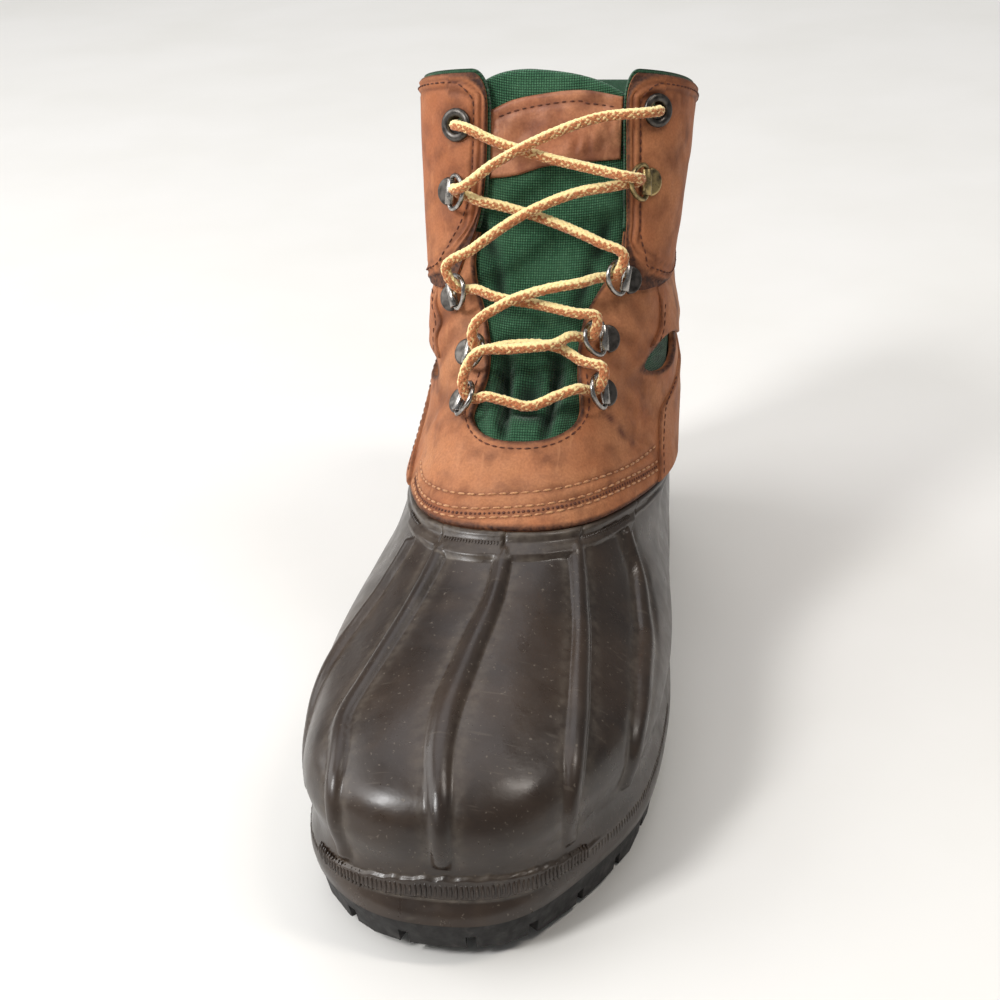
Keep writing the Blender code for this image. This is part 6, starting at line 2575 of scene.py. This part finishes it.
@dataclass
class Lace:
    """Braided cord laced through the rings, its ends down in the top eyelets."""

    last: Last
    hardware: Hardware
    away: Triple = (0.0, -0.7, 0.714)
    up: Triple = (0.0, 0.68, 0.733)
    turning: str = "lateral_5"
    over: tuple[tuple[Over, tuple[Triple, ...]], ...] = (
        (Over.TOP, ((-7.5, 6.0, 4.2), (-6.6, 2.7, 3.0))),
        (Over.BOW, ((-11.4, 1.4, 3.1), (-8.6, 1.2, 3.2), (-6.5, 0.8, 1.9))),
    )
    under: tuple[Triple, ...] = ((-6.0, 0.1, -0.2), (-7.2, 0.45, -2.9), (-10.4, 1.0, -3.9))
    eyelet: tuple[Triple, ...] = (
        (-4.6, -0.6, 4.4), (-1.2, -0.2, 3.2), (0.0, 0.0, 0.4), (0.0, 0.0, -3.4),
    )
    pitch: float = 13.0
    strand: float = 0.56
    reach: float = 1.2
    wave: float = 0.10
    # Direction, down and toward the toe, whose facing side of each strand is drawn rust-flecked: partly the
    # lace's flecks, partly painted shade.
    tan_side: Triple = (0.22, -0.62, -0.75)
    sizes: tuple[str, ...] = ("Pitch", "Reach", "Wave", "Strand", "Core", "Step")

    def anchors(self) -> dict[str, list[Vector]]:
        """For each eyelet and ring, the points the lace passes from its over side to its under side.

        Returns:
            Points in metres by name.
        """
        over = dict(self.over)
        passes = {}
        for place in RING_PLACES:
            below = tuple((x, share * place.leaves, z) for x, share, z in self.under)
            passes[place.name] = (self.hardware.frames(place)[1], over[place.over] + below)
        for side, level in EYELETS:
            matrix = lacing_frame(self.last, level, EYELET_FROM_EDGE, side.value, 0.0)
            passes[side.name.lower() + "_1"] = (matrix, self.eyelet)
        found = {}
        for name, (matrix, points) in passes.items():
            turn = 1.0 if name.startswith("medial") else -1.0
            found[name] = [matrix @ Vector((x * MM, turn * y * MM, z * MM)) for x, y, z in points]
        return found

    def route(self) -> Array:
        """The lace's centre line in metres, from the lateral eyelet down to the lowest rings and up again.

        Returns:
            Points in order.
        """
        anchors = self.anchors()
        points = anchors[LACE_ROUTE[0].start][::-1]
        going_down = True
        for strand in LACE_ROUTE:
            going_down = going_down and strand.start != self.turning
            upward = not going_down and strand.end != "medial_1"
            arrival = anchors[strand.end][::-1] if upward else anchors[strand.end]
            start, end = points[-1], arrival[0]
            for part, away, up in strand.bends:
                points.append(start.lerp(end, part) + (Vector(self.away) * away + Vector(self.up) * up) * MM)
            points.extend(arrival)
        given = np.array([tuple(p) for p in points])
        lengths = run(given)
        return smooth_through(lengths, given, np.linspace(0.0, lengths[-1], 640))

    def build(self, finishes: Finishes) -> None:
        """Braids the strands round a core along the route.

        Args:
            finishes: the boot's materials.
        """
        sizes = (self.pitch, self.reach, self.wave, self.strand, self.reach + 0.1, 0.8)
        values = {name: size * MM for name, size in zip(self.sizes, sizes)}
        values.update(Carriers=6, Finish=finishes.cord)
        made = self.braid_tree().run(line_mesh("lace line", [self.route()]), values)
        finish_piece("braided_lace", made, (), ("lace",), sharp=85.0)

    def braid_tree(self) -> LineTree:
        """Tree that winds two opposite sets of strands round a line, over and under each other.

        Returns:
            The tree.
        """
        tree = LineTree("braid", {**{name: "Float" for name in self.sizes}, "Carriers": "Int"})
        add, given = tree.add, tree.given
        even = add("even", add("curve", given["Line"]), given["Step"])
        wound = []
        for way in (1.0, -1.0):
            copies = add("copies", even, given["Carriers"])
            number = copies.node.outputs["Duplicate Index"]
            turns = add("divide", add("along"), given["Pitch"])
            share = add("divide", number, given["Carriers"])
            angle = add("multiply", add("add", add("multiply", turns, way), share), 2.0 * math.pi)
            # Each strand rises and sinks once for every strand of the other set that it meets.
            beat = add("multiply", add("multiply", turns, given["Carriers"]), 2.0 * math.pi)
            rise = add("cosine", add("add", beat, add("multiply", number, math.pi)))
            out = add("add", add("multiply", add("multiply", rise, given["Wave"]), way), given["Reach"])
            normal = add("normal")
            side = add("cross", add("tangent"), normal)
            ahead, aside = add("scale", normal, add("cosine", angle)), add("scale", side, add("sine", angle))
            both = add("sum", ahead, aside)
            # How far each strand's surface faces tan_side, for the painted shade and flecks on that side.
            height = add("multiply add", add("dot", both, self.tan_side), 0.5, 0.5)
            marked = add("kept", add("kept", copies, "turn", height), "fleck", 0.5 + 0.5 * way)
            wound.append(add("moved", marked, add("scale", both, out)))
        yarn = add("tube", add("joined", *reversed(wound)), add("circle", 5, given["Strand"]), True)
        core = add("tube", even, add("circle", 12, given["Core"]), True)
        tree.close(add("joined", core, yarn))
        return tree


# ---- studio


class Softbox(NamedTuple):
    """Area lamp: where it hangs and the point it faces in metres, its size in metres, watts and colour."""

    name: str
    place: Triple
    toward: Triple
    wide: float
    tall: float
    watts: float
    colour: str = "#ffffff"
    glossy: bool = True

    def build(self) -> None:
        """Hangs the lamp."""
        lamp = bpy.data.lights.new(self.name, "AREA")
        lamp.shape = "RECTANGLE"
        lamp.size, lamp.size_y = self.wide, self.tall
        lamp.energy = self.watts
        lamp.color = linear(self.colour)[:3]
        holder = add_object(self.name, lamp)
        holder.location = self.place
        holder.rotation_euler = (Vector(self.toward) - Vector(self.place)).to_track_quat("-Z", "Y").to_euler()
        holder.visible_glossy = self.glossy


@dataclass
class Studio:
    """Pale floor, soft lights and the camera; the floor wash leaves no gloss on the rubber."""

    eye: Triple = (0.1055, -0.4979, 0.340)
    heading: tuple[float, float] = (-0.0924, 0.9957)
    pitch: float = 28.1
    turn_left: float = 6.6
    lens: float = 61.2
    sensor: float = 36.0
    lights: tuple[Softbox, ...] = (
        Softbox("left softbox", (-0.66, -0.76, 0.98), (0.0, -0.12, 0.05), 0.26, 0.42, 11.5),
        Softbox("right softbox", (0.62, -0.10, 1.18), (0.0, -0.12, 0.05), 0.16, 0.50, 4.2, "#fff8f0"),
        Softbox("left fill", (-1.5, -0.1, 0.9), (0.0, 0.0, 0.1), 1.4, 1.2, 16.0),
        Softbox("top fill", (-0.3, 0.3, 1.8), (0.0, 0.0, 0.1), 1.3, 1.3, 9.0, "#fbfbff"),
        Softbox("floor wash", (0.0, 2.0, 1.8), (0.0, 1.2, 0.0), 2.4, 1.6, 22.0, glossy=False),
    )

    def build(self, finishes: Finishes) -> None:
        """Sets up floor, world, lights and camera.

        Args:
            finishes: the boot's materials.
        """
        mesh = bpy.data.meshes.new("floor")
        mesh.from_pydata([(-6, -6, 0), (6, -6, 0), (6, 9, 0), (-6, 9, 0)], [], [(0, 1, 2, 3)])
        mesh.materials.append(finishes.floor)
        add_object("floor", mesh)
        world = bpy.data.worlds.new("studio")
        world.use_nodes = True
        shade = world.node_tree.nodes["Background"]
        shade.inputs[0].default_value = linear("#f4f6f8")
        shade.inputs[1].default_value = 0.24
        bpy.context.scene.world = world
        bpy.context.scene.view_settings.view_transform = "Standard"
        for softbox in self.lights:
            softbox.build()
        self.camera()

    def camera(self) -> None:
        """Adds the camera, turned about its own upright so that the boot stands in the middle."""
        down = math.radians(self.pitch)
        x, y = self.heading
        forward = Vector((x * math.cos(down), y * math.cos(down), -math.sin(down)))
        right = Vector((y, -x, 0.0))
        up = right.cross(forward)
        turn = math.radians(self.turn_left)
        ahead = forward * math.cos(turn) - right * math.sin(turn)
        across = ahead.cross(up)
        data = bpy.data.cameras.new("camera")
        data.lens, data.sensor_width = self.lens, self.sensor
        data.clip_start = 0.01
        holder = add_object("camera", data)
        matrix = Matrix.Identity(4)
        for column, axis in enumerate((across, up, -ahead, Vector(self.eye))):
            matrix.col[column][:3] = axis
        holder.matrix_world = matrix
        bpy.context.scene.camera = holder


# ---- main


def main() -> None:
    """Builds the boot's pieces in order and sets the scene round them."""
    logging.basicConfig(level=logging.INFO, format="%(name)s: %(message)s")
    last, finishes, beads = Last(), Finishes(), BeadRow()
    Studio().build(finishes)
    Outsole().build(finishes)
    Footbed().build(finishes)
    rubber = RubberBottom(last)
    rubber.build(finishes)
    rubber.flutes(beads, finishes)
    shape = LeatherShape(last)
    upper = Upper(last, shape)
    upper.build(finishes)
    upper.stitches(beads, finishes)
    Panels(last, shape).build(beads, finishes)
    cuff = Cuff(last)
    cuff.build(beads, finishes)
    Lining(last, cuff).build(finishes)
    Gussets(last).build(finishes)
    tongue = Tongue(last)
    tongue.build(finishes)
    Patch(last, tongue).build(beads, finishes)
    hardware = Hardware(last)
    hardware.build(finishes)
    Lace(last, hardware).build(finishes)


if __name__ == "__main__":
    main()
